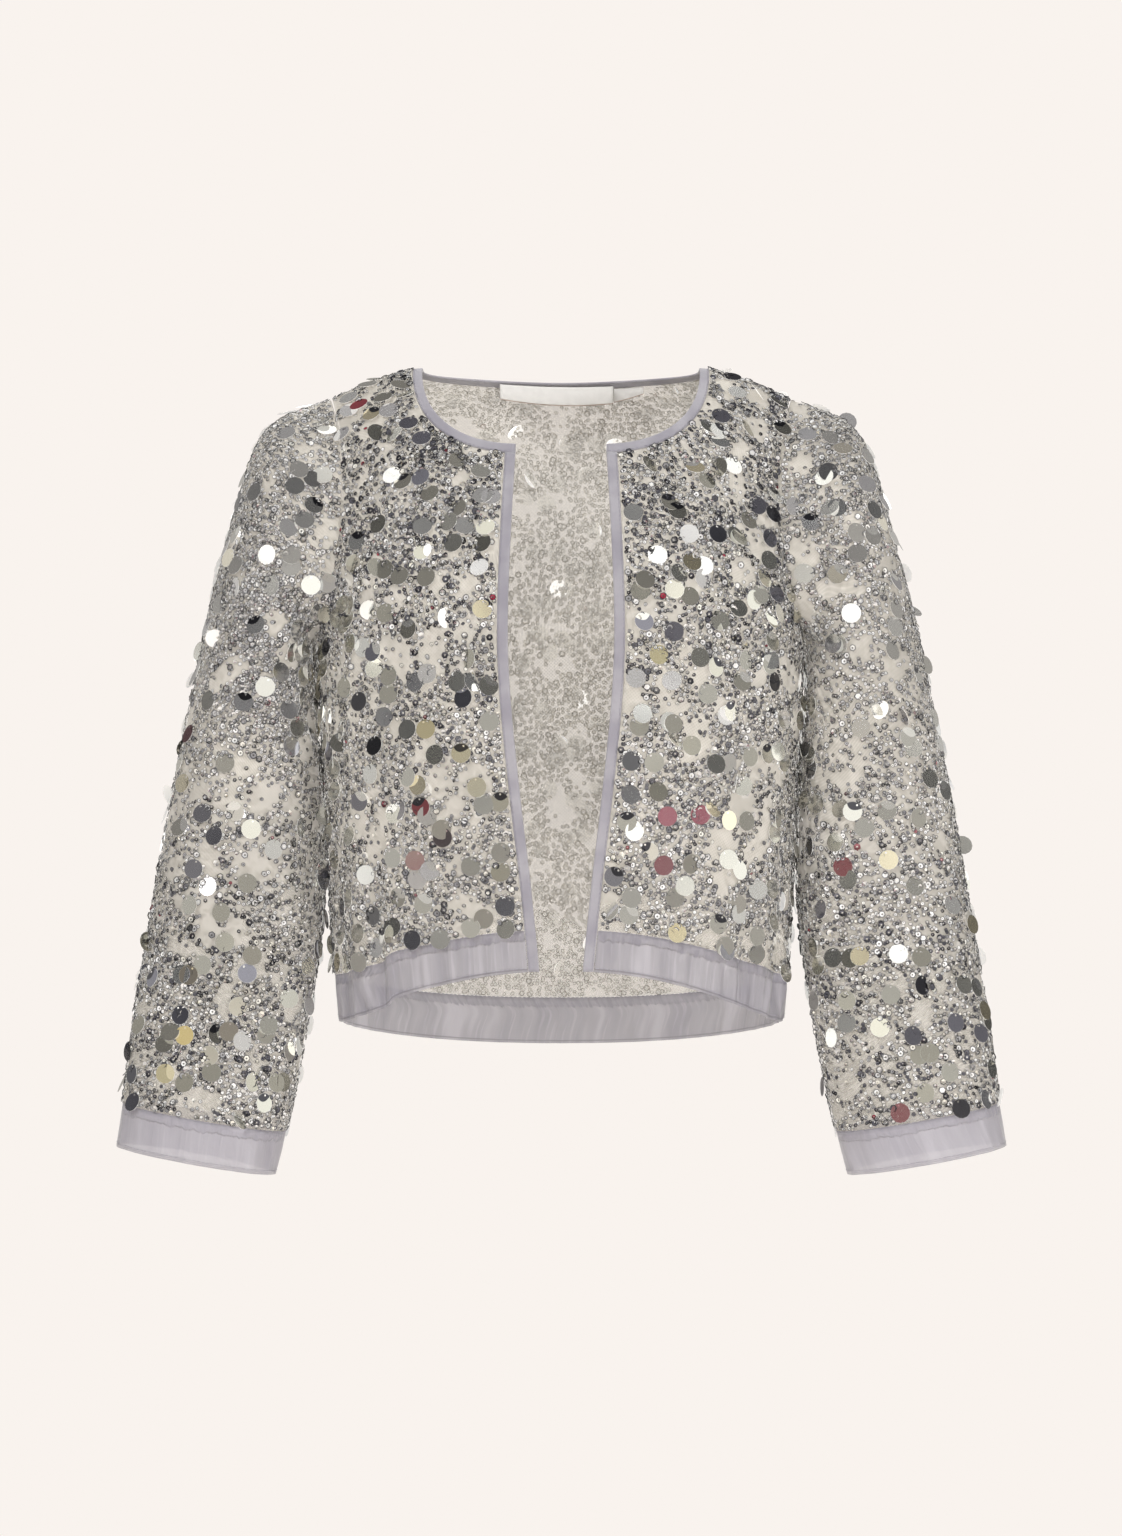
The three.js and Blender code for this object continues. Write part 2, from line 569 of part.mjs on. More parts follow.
// The neck binding in one strip: left front, back and right front.
function neckBinding() {
  const frontAngles = frontNeckAngles();
  const backSteps = [...Array(2 * NECK_STEPS + 1).keys()].slice(1, -1);
  const columns = [
    ...frontAngles.map((angle) => ({ angle, atBack: false, onRight: false })),
    ...backSteps.map((k) => ({
      angle: (Math.abs(1 - k / NECK_STEPS) * Math.PI) / 2,
      atBack: true,
      onRight: k > NECK_STEPS,
    })),
    ...frontAngles.reverse().map((angle) => ({ angle, atBack: false, onRight: true })),
  ];
  const last = columns.length - 1;
  return gridSheet(last, BINDING_STEPS_ACROSS, (u, v) => {
    const { angle, atBack, onRight } = columns[Math.round(u * last)];
    const side = BINDING_SIDE * (1 - v);
    const down = (atBack ? BINDING_BACK_DROP : BINDING_SIDE) * (1 - v);
    const { at, out } = bodyCloth(neckPlace(angle, side, down, atBack));
    return onRight ? { at: otherSide(at), out: otherSide(out) } : { at, out };
  });
}

const between = (ends, share) => ends.left + (ends.right - ends.left) * share;

// A label that hangs inside the back of the neck, from a line along the binding.
function neckLabel({ left, right, from, inwards, under, height, belly, lean }) {
  return gridSheet(LABEL_STEPS_ACROSS, 1, (u, v) => {
    const x = left + (right - left) * u;
    const side = BINDING_SIDE * from;
    const angle = Math.asin((Math.abs(x) / (NECK_HALF_WIDTH + side)) ** (NECK_SQUARENESS / 2));
    const place = neckPlace(angle, side, BINDING_BACK_DROP * from, true);
    const top = bodyPoint(place.turn, place.level);
    const down = (between(height, u) + belly * 4 * u * (1 - u)) * (1 - v);
    return {
      at: new THREE.Vector3(x, top.y - inwards + down * lean, top.z - between(under, u) - down),
      out: new THREE.Vector3(0, -1, -lean).normalize(),
    };
  });
}

const bolero = new THREE.Group();
bolero.position.z = NECK_POINT_RISE;

// A cloth and its mirror image on the wearer's right.
function addPair(name, sheet, thickness, material) {
  bolero.add(clothWall(`${name}_left`, sheet, thickness, material));
  bolero.add(clothWall(`${name}_right`, mirrored(sheet), thickness, material));
}

bolero.add(clothWall("back", backSheet(), NET_WALL, NET));
addPair("front", frontSheet(), NET_WALL, NET);
addPair("sleeve", sleeveCloth(), NET_WALL, NET);
addPair("cuff_band", cuffBand(), BAND_WALL, SHEER);
addPair("front_hem_band", frontHemBand(), BAND_WALL, SHEER);
bolero.add(clothWall("back_hem_band", backHemBand(), BAND_WALL, SHEER));
addPair("front_binding", frontBinding(), BINDING_WALL, SHEER);
bolero.add(clothWall("neck_binding", neckBinding(), BINDING_WALL, SHEER));
bolero.add(clothWall("neck_label", neckLabel(LABEL), LABEL_WALL, SATIN));
bolero.add(clothWall("size_tab", neckLabel(SIZE_TAB), LABEL_WALL, SATIN));

export default bolero;
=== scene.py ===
"""A cropped open-front bolero of sequinned net, bound with sheer bands.

The cloths are worked out in millimetres from the points where the neckline meets the shoulder
seams, and are turned into metres, in the frame's own axes, when their meshes are made. A place on
the body is an array of two layers: the turn round the body and the level up it.
"""

import math
from collections import namedtuple

import bpy
import numpy as np
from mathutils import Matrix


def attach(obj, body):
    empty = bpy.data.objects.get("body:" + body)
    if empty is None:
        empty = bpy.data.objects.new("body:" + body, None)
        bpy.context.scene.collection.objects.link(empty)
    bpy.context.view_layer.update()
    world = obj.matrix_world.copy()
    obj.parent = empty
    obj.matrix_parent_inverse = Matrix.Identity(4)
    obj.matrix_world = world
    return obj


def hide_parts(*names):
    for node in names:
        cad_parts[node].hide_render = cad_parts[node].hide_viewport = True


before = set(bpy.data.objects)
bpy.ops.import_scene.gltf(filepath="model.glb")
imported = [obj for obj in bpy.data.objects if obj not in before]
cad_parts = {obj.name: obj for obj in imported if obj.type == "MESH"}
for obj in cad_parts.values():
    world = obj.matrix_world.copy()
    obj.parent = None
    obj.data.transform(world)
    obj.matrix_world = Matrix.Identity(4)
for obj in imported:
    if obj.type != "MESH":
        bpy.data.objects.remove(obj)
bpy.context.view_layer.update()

bl_info = {
    "name": "Sequinned bolero",
    "version": (1, 0, 0),
    "blender": (4, 5, 0),
    "location": "3D View > Sidebar > Bolero",
    "description": "Makes a cropped, open-front bolero of sequinned net with sheer bands",
    "category": "Object",
}


def table(fields, *rows):
    """Rows of numbers whose columns have names."""
    row = namedtuple("Row", fields)
    return [row(*numbers) for numbers in rows]


MM = 0.001
BODY = "root"
SIDES = {"left": 1, "right": -1}
NET_CLOTHS = ("back", "front_left", "front_right", "sleeve_left", "sleeve_right")

# Body sections, one row for each height. Depths are from the side seams.
BODY_SECTIONS = table(
    "height half_width front back",
    (-190, 168, 120, 112), (-235, 167, 121, 109), (-300, 164, 116, 105),
    (-360, 161, 110, 103), (-424, 157.5, 106, 105), (-480, 153, 104, 108),
)
BODY_SQUARENESS = 2.2
BODY_SIDE_Y = -8
UNDERARM_HEIGHT = -190
FRONT_ROUNDING = 1.6
BACK_ROUNDING = 2.8
NECK_POINT_RISE = 10

SHOULDER_LINE = table("x height", (0, 0), (97, 0), (130, -9), (160, -22), (190, -36))
# The armhole's distance from the middle, by its share of the way from underarm to shoulder.
ARMHOLE = table(
    "share x",
    (0, 168), (0.08, 163.3), (0.16, 158.8), (0.25, 154.5), (0.35, 151.5),
    (0.5, 150), (0.7, 151), (0.85, 154.5), (1, 160),
)
# Half the gap between the front edges.
FRONT_EDGE = table(
    "height x",
    (-480, 11), (-417, 15.5), (-360, 21), (-300, 28), (-235, 34.5), (-190, 36.5), (-130, 35), (-50, 31),
)
NECK_CORNER_X = 31
NECK_HALF_WIDTH = 97.5
FRONT_NECK_DROP = 59.5
BACK_NECK_DROP = 6.5
NECK_SQUARENESS = 2.25
BINDING_SIDE = 5.8
BINDING_BACK_DROP = 3.2
FRONT_BINDING_WIDTH = 6.5
BINDING_OVERLAP = 0.6
# The share of a panel's border at which the neckline starts on a front, or ends on the back.
BORDER_BEND = 2 / 3

# A line round the body: height at the sides, rise to the front and drop to the back.
HEM_SEAM, HEM_EDGE = table("side rise drop", (-424, 35, 22), (-457, 40, 22))
HEM_BEND_FRONT = 2.3
HEM_BEND_BACK = 1.2
BAND_JOIN_X = 118
# Half the gap between the bands where they join, as a turn.
BAND_JOIN_GAP = 0.001
SEAM_GAP = 0.3
BOTTOM_LEVEL = SEAM_GAP / (UNDERARM_HEIGHT - HEM_SEAM.side)

# Sleeve sections from armhole to cuff edge, with the outer and inner point seen from the front.
SLEEVE_SECTIONS = table(
    "row outer_x outer_z inner_x inner_z depth middle_y",
    (0, 160, -22, 168, -190, 52, -6), (1, 181, -30, 169.6, -194, 55, -6),
    (2, 196, -37, 170.6, -198, 58, -6.5), (3, 207, -48, 171.2, -203, 60, -7),
    (4, 214, -61, 171.4, -209, 61, -7), (5, 221, -82, 171.6, -217, 61.5, -7.5),
    (6, 228, -108, 171.6, -228, 61, -8), (7, 238, -145, 171.2, -242, 60, -8),
    (8, 249, -191, 170, -260, 58.5, -9), (9, 261, -250, 167.8, -285, 56, -10),
    (10, 271.5, -303, 165.8, -327, 53, -11), (11, 280.5, -355, 165.6, -374, 50, -13),
    (12, 289, -409, 172, -429, 47, -16), (13, 297, -461, 181, -482, 44, -20),
    (14, 304, -511.5, 191, -531.5, 42, -24), (15, 308.5, -541.5, 198.5, -561.5, 40, -26),
)
SLEEVE_START, CUFF_SECTION, CUFF_START = 0.05, 14, 14.01
SLEEVE_SQUARENESS = 2.15
CAP_REACH = 3.2

# Soft folds of the body: turn in degrees from the front's middle, plus to the wearer's left, the levels of
# both ends, width in degrees, depth in millimetres and lean in degrees. Levels are 0 at the hem seam, 1 at
# the underarm and 2 on the shoulder.
FOLD_FIELDS = "turn low high width depth lean"
SHARED_FOLDS = table(
    FOLD_FIELDS,
    (40, -0.4, 0.8, 5, 1.8, -5), (58, -0.9, 1.1, 4.5, 2.8, 1), (70, -1, 0.7, 4, -2.2, -4),
    (62, 1, 1.6, 5, 1.8, -8), (125, -0.7, 0.9, 5.5, 2.4, 4), (150, -0.5, 0.6, 6, -1.8, -3),
    (178, -0.9, 0.4, 6, 1.6, 2),
)
# Creases that differ from side to side, sharper than the folds above.
BODY_CREASES = table(
    FOLD_FIELDS,
    (-44, -0.5, 0.9, 2.6, 1.9, 4), (-49, -0.9, 0.5, 2.2, -1.6, 2), (-66, -0.2, 0.95, 2.4, 1.8, -3),
    (-34, 0.1, 0.8, 2.8, 1.1, 6), (-55, 0.7, 1.5, 2.8, 1.5, 10), (-78, -0.95, 0.3, 2.4, 1.6, 1),
    (33, -0.2, 0.6, 2.6, 1.2, -5), (50, -0.7, 0.7, 2.4, -1.5, -3), (64, 0.3, 1.3, 2.4, 1.9, 6),
    (76, -0.95, 0.5, 2.2, 1.9, -2), (82, -0.6, 0.9, 2.4, -1.4, 3), (105, -0.8, 0.6, 3, 1.7, 3),
    (118, 0.2, 1.4, 3, 1.4, -6), (140, -0.9, 0.2, 2.8, 1.5, 2), (165, 0.2, 1.1, 3.4, 0.9, -4),
    (-110, -0.6, 0.9, 3, 1.8, -4), (-132, -0.9, 0.4, 2.8, -1.3, 3), (-145, 0.1, 1.3, 3.2, 1.3, 5),
    (-168, -0.8, 0.3, 3, 1.1, -2), (63, -1.5, 0.15, 2.1, 2.1, 7), (69, -1.4, 0.25, 1.9, -2, 7),
    (74.5, -1.5, 0.2, 2.1, 2.3, 8), (-46.5, -1.2, 0.3, 1.6, 1.5, 0),
)
# Where the right front's band laps over itself: turn in degrees, reach of the lap and its drop.
HEM_LAP_TURN = 46
HEM_LAP_REACH = 13
HEM_LAP_SHARPNESS = 2.4
HEM_LAP_DROP = 2.3
# The hem's edge turns up a little at the side seams: by how much, and over how many degrees.
HEM_TIP_RISE = 3
HEM_TIP_REACH = 8
# Heights of the small ripples of the gathered hem band and of the cuffs.
BAND_RIPPLE = 0.45
CUFF_RIPPLE = 0.4
# Soft folds of a sleeve: turn in degrees from its outside over the front, the section at the fold's middle
# and how many sections it spans. The rest is as above.
SLEEVE_FOLD_FIELDS = "turn section length width depth lean"
SLEEVE_FOLDS = table(
    SLEEVE_FOLD_FIELDS,
    (150, 6.5, 3, 16, 2.6, -25), (128, 10.8, 2.6, 13, 2.8, 42), (100, 12.2, 2, 12, 1.9, -30),
    (62, 8.2, 2.8, 15, 1.8, 20), (212, 8.4, 3, 15, 2.4, 30), (240, 11.4, 2.4, 14, 2.2, -35),
    (300, 7.2, 2.6, 16, 1.7, -20), (20, 12.8, 2, 13, 1.4, 15),
)
LEFT_SLEEVE_CREASES = table(
    SLEEVE_FOLD_FIELDS,
    (138, 8.6, 2.2, 7, 1.8, 34), (118, 9.4, 1.8, 6, -1.5, 30), (150, 11.2, 2, 7, 1.9, -38),
    (84, 10.4, 2.4, 7, 1.2, 26), (122, 12.9, 1.4, 6, 1.3, 20), (70, 3.4, 2.4, 8, 1.2, 18),
    (45, 12, 2.4, 7, 1.1, -14), (225, 10, 2.2, 8, 1.6, -30), (262, 12.4, 1.8, 7, 1.2, 22),
)
RIGHT_SLEEVE_CREASES = table(
    SLEEVE_FOLD_FIELDS,
    (132, 9.2, 2.4, 7, 2, 40), (148, 10.1, 2, 6, -1.6, 36), (112, 11.4, 1.8, 6, 1.8, -34),
    (90, 7, 2.4, 8, 1.3, 22), (140, 12.6, 1.4, 7, 1.4, -18), (58, 10.8, 2.6, 8, 1.1, 20),
    (66, 4, 2, 8, 1.1, 14), (218, 11, 2.2, 8, 1.7, 34), (285, 9.2, 2.4, 8, 1.2, -24),
)

# Labels hang from a line at a share (start) of the binding's width. Inwards and under are the steps from
# that line to their top edge, and belly is how far the lower edge sags. Pairs are left and right ends.
LABEL, SIZE_TAB = table(
    "left right start inwards under height belly lean",
    (-43.4, 37, 0, 1.55, (2.5, 3.7), (10.4, 12), 1.6, 0.35),
    (37.6, 58.6, 1, 1.6, (1.9, 1.9), (9.4, 5), 0.3, 0.3),
)
TAB_ALLOWANCE = 2

# In metres: how far the seam allowance reaches down a band, and the stitches over its folded edge.
SEAM_ALLOWANCE = 0.0066
FOLD_STITCH_UP = 0.0019
# Where the rows of stitches run, as a share of a band's height and of a binding's width.
BAND_STITCHES = (0.1, 1)
BINDING_STITCHES = 0.83
STITCH_LENGTH, STITCH_GAP, STITCH_WIDTH = 2.3, 0.9, 0.34

# Columns and rows of the cloths' grids, and the points round the fold of a binding.
FRONT_GRID, BACK_GRID, SLEEVE_GRID = (50, 92), (96, 92), (60, 88)
FRONT_HEM_GRID, BACK_HEM_GRID, CUFF_GRID = (60, 10), (300, 10), (96, 10)
FRONT_BINDING_GRID, NECK_BINDING_GRID, TAB_GRID = (6, 140), (6, 180), (40, 10)
FOLD_STEPS = 7

# Colours of the sequins, each with its share of them. They are partly the sequins' own finishes and partly
# painted reflection: the olive grey of most discs stands for the room's grey mirrored in them, and the pure
# white, gold and red ones for lamps and warm things in the room.
CUP_FINISHES_AND_REFLECTIONS = table(
    "colour share",
    ((0.86, 0.86, 0.85), 0.37), ((0.62, 0.62, 0.62), 0.20), ((0.34, 0.34, 0.35), 0.14),
    ((0.10, 0.10, 0.12), 0.23), ((0.90, 0.88, 0.80), 0.10), ((0.34, 0.03, 0.06), 0.003),
)
DISC_FINISHES_AND_REFLECTIONS = table(
    "colour share",
    ((0.55, 0.54, 0.47), 0.40), ((0.66, 0.66, 0.60), 0.20), ((0.90, 0.91, 0.88), 0.12),
    ((0.05, 0.05, 0.06), 0.055), ((0.24, 0.24, 0.28), 0.09), ((1.0, 1.0, 1.0), 0.045),
    ((0.92, 0.84, 0.60), 0.055), ((0.30, 0.01, 0.03), 0.010),
)
# Painted light: the pale tone the sequins are mixed towards, and the heights between which the mixing rises.
PALE_SEQUIN = 0.84
PALE_FROM_HEIGHT = -170
PALE_TO_HEIGHT = -400
# Painted light: how much of the way to the pale tone cups and discs go, on sleeves and on the body.
CUP_PALENESS = (0.55, 0.22)
DISC_PALENESS = (0.5, 0.25)
SLEEVE_DISC_SHARE = 0.66
STRAY_CUPS = 0.15
# For each kind of cloth, the cups' spacing against the setting, and the half width of their windings.
CUP_WINDINGS = {"back": (1.1, 1.5), "sleeve": (1.05, 1.2), "front": (1.0, 1.15)}
# Lengths of the random fields that wind the cups, fill between the windings and broaden them.
WINDING_LENGTH, FILLING_LENGTH, BROAD_LENGTH = 34, 52, 95
FILLED_ABOVE, BROADENING = 0.75, 0.3
# No sequin hangs nearer than this to the edge of its cloth.
CUP_MARGIN, DISC_MARGIN = 1.6, 5
# Middles and spreads of the sequins' angles.
CUP_TILT, CUP_ROLL = (0.05, 0.2), (0, 0.2)
DISC_TURN, DISC_TILT, DISC_ROLL = (0, 0.4), (0.06, 0.13), (0, 0.16)
DISC_LEAST_TILT = 0.03
# A few discs are rolled far more.
ROLLED_SHARE, ROLLED = 0.12, (0, 0.75)
# How far a sequin's thread holds it off the cloth, from least to most, and a disc's middle under its hole.
CUP_LIFT, DISC_LIFT, HOLE_UP = (0.3, 0.9), (1.0, 1.9), 0.38
CUP_SIZES = (0.93, 1.07)
# How much the tones vary from one to the next, and how much lighter the cups get with the broad field.
CUP_TONES, DISC_TONES = 0.12, 0.07
BROAD_TONES, TONE_LIMITS = 0.12, (0.7, 1.3)
# The waves of a random field with their shortest and longest share of its length, the draws for each
# cell of the scattering, and more cells than any cloth has up it.
WAVES, WAVE_SHARES = 20, (0.7, 1.35)
DRAWS_PER_CELL, MOST_CELLS = 5, 4096

# A few warm things in the room that the discs mirror: where they lie from the bolero, the cosine of half
# their width, and their colour.
WARM_PATCHES = [
    ((-0.28, -0.95, -0.14), 0.974, (0.30, 0.015, 0.05)),
    ((0.30, -0.94, -0.16), 0.974, (0.28, 0.02, 0.06)),
    ((0.55, -0.79, 0.27), 0.989, (0.66, 0.57, 0.34)),
    ((-0.50, -0.83, 0.25), 0.989, (0.64, 0.55, 0.34)),
]
# Soft lamps: name, place, size and power. They all face one point.
LAMPS = [
    ("key", (-1.5, -2.3, 1.5), (1.6, 1.2), 54),
    ("fill", (2.0, -2.0, 0.4), (1.2, 1.8), 30),
    ("top", (0.2, 0.6, 2.0), (2.0, 1.2), 30),
    ("low", (0.6, -2.4, -0.9), (1.4, 0.5), 16),
    ("rear", (-0.8, 2.4, 0.6), (1.6, 1.6), 24),
]
LAMP_TARGET = (0, 0, -0.27)
FLOOR_REACH = 12
SENSOR_HEIGHT = 36

# Points that the faces of body cloths and of the neck tabs look away from.
CHEST = (0, -8, -250)
BEHIND_NECK = (0, 400, -20)


def length_setting(name, text, default):
    """A length in metres that can be set in the panel."""
    return bpy.props.FloatProperty(name=name, description=text, default=default, unit="LENGTH")


def share_setting(name, text, default):
    """A share from 0 to 1 that can be set in the panel."""
    return bpy.props.FloatProperty(
        name=name, description=text, default=default, min=0, max=1, subtype="FACTOR"
    )


def colour_setting(name, text, default):
    """A colour that can be set in the panel."""
    return bpy.props.FloatVectorProperty(name=name, description=text, default=default, subtype="COLOR")


class BoleroCloth(bpy.types.PropertyGroup):
    """Walls and colours of the cloths."""

    net_wall: length_setting("Net wall", "Thickness of the net", 0.0004)
    band_wall: length_setting("Band wall", "Thickness of the folded band", 0.0007)
    binding_wall: length_setting("Binding wall", "Thickness of a binding's layer", 0.0003)
    binding_depth: length_setting("Binding depth", "Thickness of a folded binding", 0.0015)
    label_wall: length_setting("Label wall", "Thickness of label and tab", 0.0005)
    mesh_pitch: length_setting("Net pitch", "Distance of the net's lines", 0.0017)
    net_colour: colour_setting("Net", "Colour of the net", (0.89, 0.85, 0.765))
    net_cover: share_setting("Net cover", "How solid one face of the net is", 0.36)
    sheer_colour: colour_setting("Sheer", "Colour of bands and bindings", (0.385, 0.372, 0.405))
    sheer_shade: colour_setting("Sheer shade", "Colour where bands lie double", (0.25, 0.238, 0.285))
    sheer_cover: share_setting("Sheer cover", "How solid one face of a band is", 0.62)
    label_colour: colour_setting("Label", "Colour of label and tab", (0.74, 0.735, 0.715))


class BoleroSequins(bpy.types.PropertyGroup):
    """Sizes and spacing of what is sewn on the net."""

    cup_width: length_setting("Cup width", "Width of a small cup", 0.003)
    large_cup_width: length_setting("Large cup width", "Width of a large cup", 0.005)
    cup_pitch: length_setting("Cup pitch", "Spacing of cups in a cluster", 0.00295)
    large_share: share_setting("Large share", "Share of large cups", 0.09)
    disc_width: length_setting("Disc width", "Width of a flat disc", 0.0136)
    disc_pitch: length_setting("Disc pitch", "Spacing of the discs", 0.0185)
    disc_share: share_setting("Disc share", "Share of the places that hold a disc", 0.7)
    seed: bpy.props.IntProperty(name="Seed", description="Start of the random draws", default=7)


class BoleroStage(bpy.types.PropertyGroup):
    """Camera, floor and lights."""

    distance: length_setting("Distance", "Camera to the shoulder line", 3.0)
    eye_height: length_setting("Eye height", "Height of the camera", -0.270)
    frame_height: length_setting("Frame height", "Height of the picture at the shoulders", 1.0752)
    floor_height: length_setting("Floor height", "Height of the floor", -1.25)
    backdrop: colour_setting("Backdrop", "Colour of floor and backdrop", (0.947, 0.896, 0.855))
    room: colour_setting("Room", "Colour of the room that the sequins mirror", (0.52, 0.50, 0.475))
    ceiling: colour_setting("Ceiling", "Colour of the room's ceiling", (0.20, 0.19, 0.19))


def sleeve_middle(side):
    """A point inside a sleeve, half way down."""
    row = SLEEVE_SECTIONS[8]
    return (side * (row.outer_x + row.inner_x) / 2, row.middle_y, (row.outer_z + row.inner_z) / 2)


def read_curve(rows, key, value, at):
    """Smooth curve through a table: cubic pieces, each row's slope that of the line between its
    neighbours."""
    xs = np.array([getattr(row, key) for row in rows], float)
    ys = np.array([getattr(row, value) for row in rows], float)
    if xs[0] > xs[-1]:
        xs, ys = xs[::-1], ys[::-1]
    before = np.maximum(np.arange(len(xs)) - 1, 0)
    after = np.minimum(np.arange(len(xs)) + 1, len(xs) - 1)
    slopes = (ys[after] - ys[before]) / (xs[after] - xs[before])
    at = np.asarray(at, float)
    i = np.clip(np.searchsorted(xs, at, side="right") - 1, 0, len(xs) - 2)
    span = xs[i + 1] - xs[i]
    t = np.clip((at - xs[i]) / span, 0, 1)
    return (
        (2 * t**3 - 3 * t**2 + 1) * ys[i]
        + (t**3 - 2 * t**2 + t) * span * slopes[i]
        + (3 * t**2 - 2 * t**3) * ys[i + 1]
        + (t**3 - t**2) * span * slopes[i + 1]
    )


def signed_power(value, power):
    """The value's size raised to a power, with its sign kept."""
    return np.sign(value) * np.abs(value) ** power


def shoulder_height(x):
    """Height of the shoulder line at a distance from the middle."""
    return read_curve(SHOULDER_LINE, "x", "height", np.abs(x))


def section_size(height, value):
    """A size of the body's oval at a height, the same above the underarm as at it."""
    return read_curve(BODY_SECTIONS, "height", value, np.minimum(height, UNDERARM_HEIGHT))


def hem_height(line, turn):
    """Height of a hem line: its side height, plus the rise times a power of the cosine in front, less the
    drop times another behind."""
    c = np.cos(turn)
    rise = line.rise * np.maximum(c, 0) ** HEM_BEND_FRONT
    return line.side + rise - line.drop * np.maximum(-c, 0) ** HEM_BEND_BACK


def fold_height(turn_degrees, along, middle, low, high, width, depth, lean):
    """A soft ridge: a bell across its width, times a sine's power that dies at both ends."""
    share = np.clip((along - low) / (high - low), 0, 1)
    away = (turn_degrees - middle - lean * (share - 0.5) + 540) % 360 - 180
    return depth * np.sin(np.pi * share) ** 1.5 * np.exp(-((away / width) ** 2))


def body_folds(turn, level, side):
    """All folds of the body at a place: those shared by both sides, and the creases of this side."""
    total = np.zeros(np.broadcast(turn, level).shape)
    for degrees, folds in ((np.degrees(turn), SHARED_FOLDS), (side * np.degrees(turn), BODY_CREASES)):
        for fold in folds:
            total += fold_height(degrees, level, *fold)
    return total


def hem_lap(turn, level, side):
    """How far the right front's hem drops past its lap: a soft step times a bell, gone above the hem."""
    away = np.degrees(turn) - HEM_LAP_TURN
    near = np.exp(-((away / HEM_LAP_REACH) ** 2)) * np.clip(1 - 3 * level, 0, 1)
    return np.where(side < 0, HEM_LAP_DROP * np.tanh(away / HEM_LAP_SHARPNESS) * near, 0)


def band_ripples(turn, level, side):
    """Small upright ripples of the gathered band: three sines that do not repeat, only below the seam."""
    wave = np.sin(37 * turn + side) + 0.8 * np.sin(61 * turn + 2 * side) + 0.6 * np.sin(97 * turn + 1.3)
    return BAND_RIPPLE * wave * np.clip(-level * 3, 0, 1)


def body_point(turn, level, side):
    """A point of the body's outer face: a squarish oval at each height, drawn in to the shoulder line above
    the underarm, plus the folds. The hem's edge rises in a bell at the side seams. turn runs from the
    front's middle over the side to the back's, and side is 1 on the wearer's left. level is -1 at the
    hem's edge, 0 at its seam, 1 under the arm and 2 on top."""
    turn, level, side = np.broadcast_arrays(np.asarray(turn, float), level, side)
    power = 2 / BODY_SQUARENESS
    s, c = np.sin(turn), np.cos(turn)
    at_seam = hem_height(HEM_SEAM, turn)
    height = at_seam + (UNDERARM_HEIGHT - at_seam) * level
    height = np.where(level < 0, at_seam + (at_seam - hem_height(HEM_EDGE, turn)) * level, height)
    depth = np.where(c > 0, section_size(height, "front"), section_size(height, "back"))
    x = section_size(height, "half_width") * signed_power(s, power)
    y = BODY_SIDE_Y - depth * signed_power(c, power)
    share = np.clip(level - 1, 0, 1)
    rounding = np.where(c > 0, FRONT_ROUNDING, BACK_ROUNDING)
    height = np.where(level > 1, UNDERARM_HEIGHT + share * (shoulder_height(x) - UNDERARM_HEIGHT), height)
    y = y * (1 - share**rounding) ** (1 / rounding) - np.sign(c) * share * SEAM_GAP / 2
    fold = body_folds(turn, level, side) + band_ripples(turn, level, side)
    tip = HEM_TIP_RISE * np.exp(-(((np.abs(np.degrees(turn) - 180) - 90) / HEM_TIP_REACH) ** 2))
    height = height - hem_lap(turn, level, side) + tip * np.clip(-level, 0, 1)
    return np.stack([side * (x + fold * s), y - fold * c, height], -1)


def turn_at(x, height):
    """The turn at which the body's face lies at a distance from the middle."""
    share = np.abs(x) / section_size(height, "half_width")
    return np.arcsin(np.minimum(share, 1) ** (BODY_SQUARENESS / 2))


def front_place(x, height):
    """The place of a point above the underarm, given by its distance from the middle and its height."""
    level = 1 + (height - UNDERARM_HEIGHT) / (shoulder_height(x) - UNDERARM_HEIGHT)
    return np.stack([turn_at(x, UNDERARM_HEIGHT), np.minimum(level, 2)])


def halved(place, at_back):
    """The place, carried over to the back half of the body where at_back says so."""
    return np.stack([np.where(at_back, np.pi - place[0], place[0]), place[1]])


def edge_place(height, out):
    """The place on the front edge, moved out from it by a distance, at each height."""
    x = read_curve(FRONT_EDGE, "height", "x", height) + out
    turn = turn_at(x, height)
    seam, edge = hem_height(HEM_SEAM, turn), hem_height(HEM_EDGE, turn)
    level = (height - seam) / np.where(height > seam, UNDERARM_HEIGHT - seam, seam - edge)
    return np.where(height > UNDERARM_HEIGHT, front_place(x, height), np.stack([turn, level]))


def neck_place(angle, side_out, down, at_back):
    """The place on the neckline, a squarish quarter oval from its lowest point up to the shoulder."""
    power = 2 / NECK_SQUARENESS
    start = np.where(at_back, 0.0, NECK_CORNER_X)
    drop = np.where(at_back, BACK_NECK_DROP, FRONT_NECK_DROP) + down
    x = start + (NECK_HALF_WIDTH - start + side_out) * np.sin(angle) ** power
    height = shoulder_height(x) - drop * np.maximum(np.cos(angle), 0) ** power
    return halved(front_place(x, height), at_back)


def armhole_place(angle, at_back):
    """The place on the armhole: angle 0 on the shoulder, half a turn under the arm."""
    share = (1 + np.cos(angle)) / 2
    turn = turn_at(read_curve(ARMHOLE, "share", "x", share), UNDERARM_HEIGHT)
    return halved(np.stack([np.minimum(turn, np.pi / 2), 1 + share]), at_back)


def mixed(a, b, t):
    """The place a share t of the way from a to b."""
    return a + (b - a) * t


def side_border(v, at_back):
    """The outer border of a panel: side seam up to half way, armhole above."""
    seam = np.stack([np.full_like(v, np.pi / 2), BOTTOM_LEVEL + (1 - BOTTOM_LEVEL) * v * 2])
    return np.where(v <= 0.5, seam, armhole_place(np.pi * np.clip(2 - 2 * v, 0, 1), at_back))


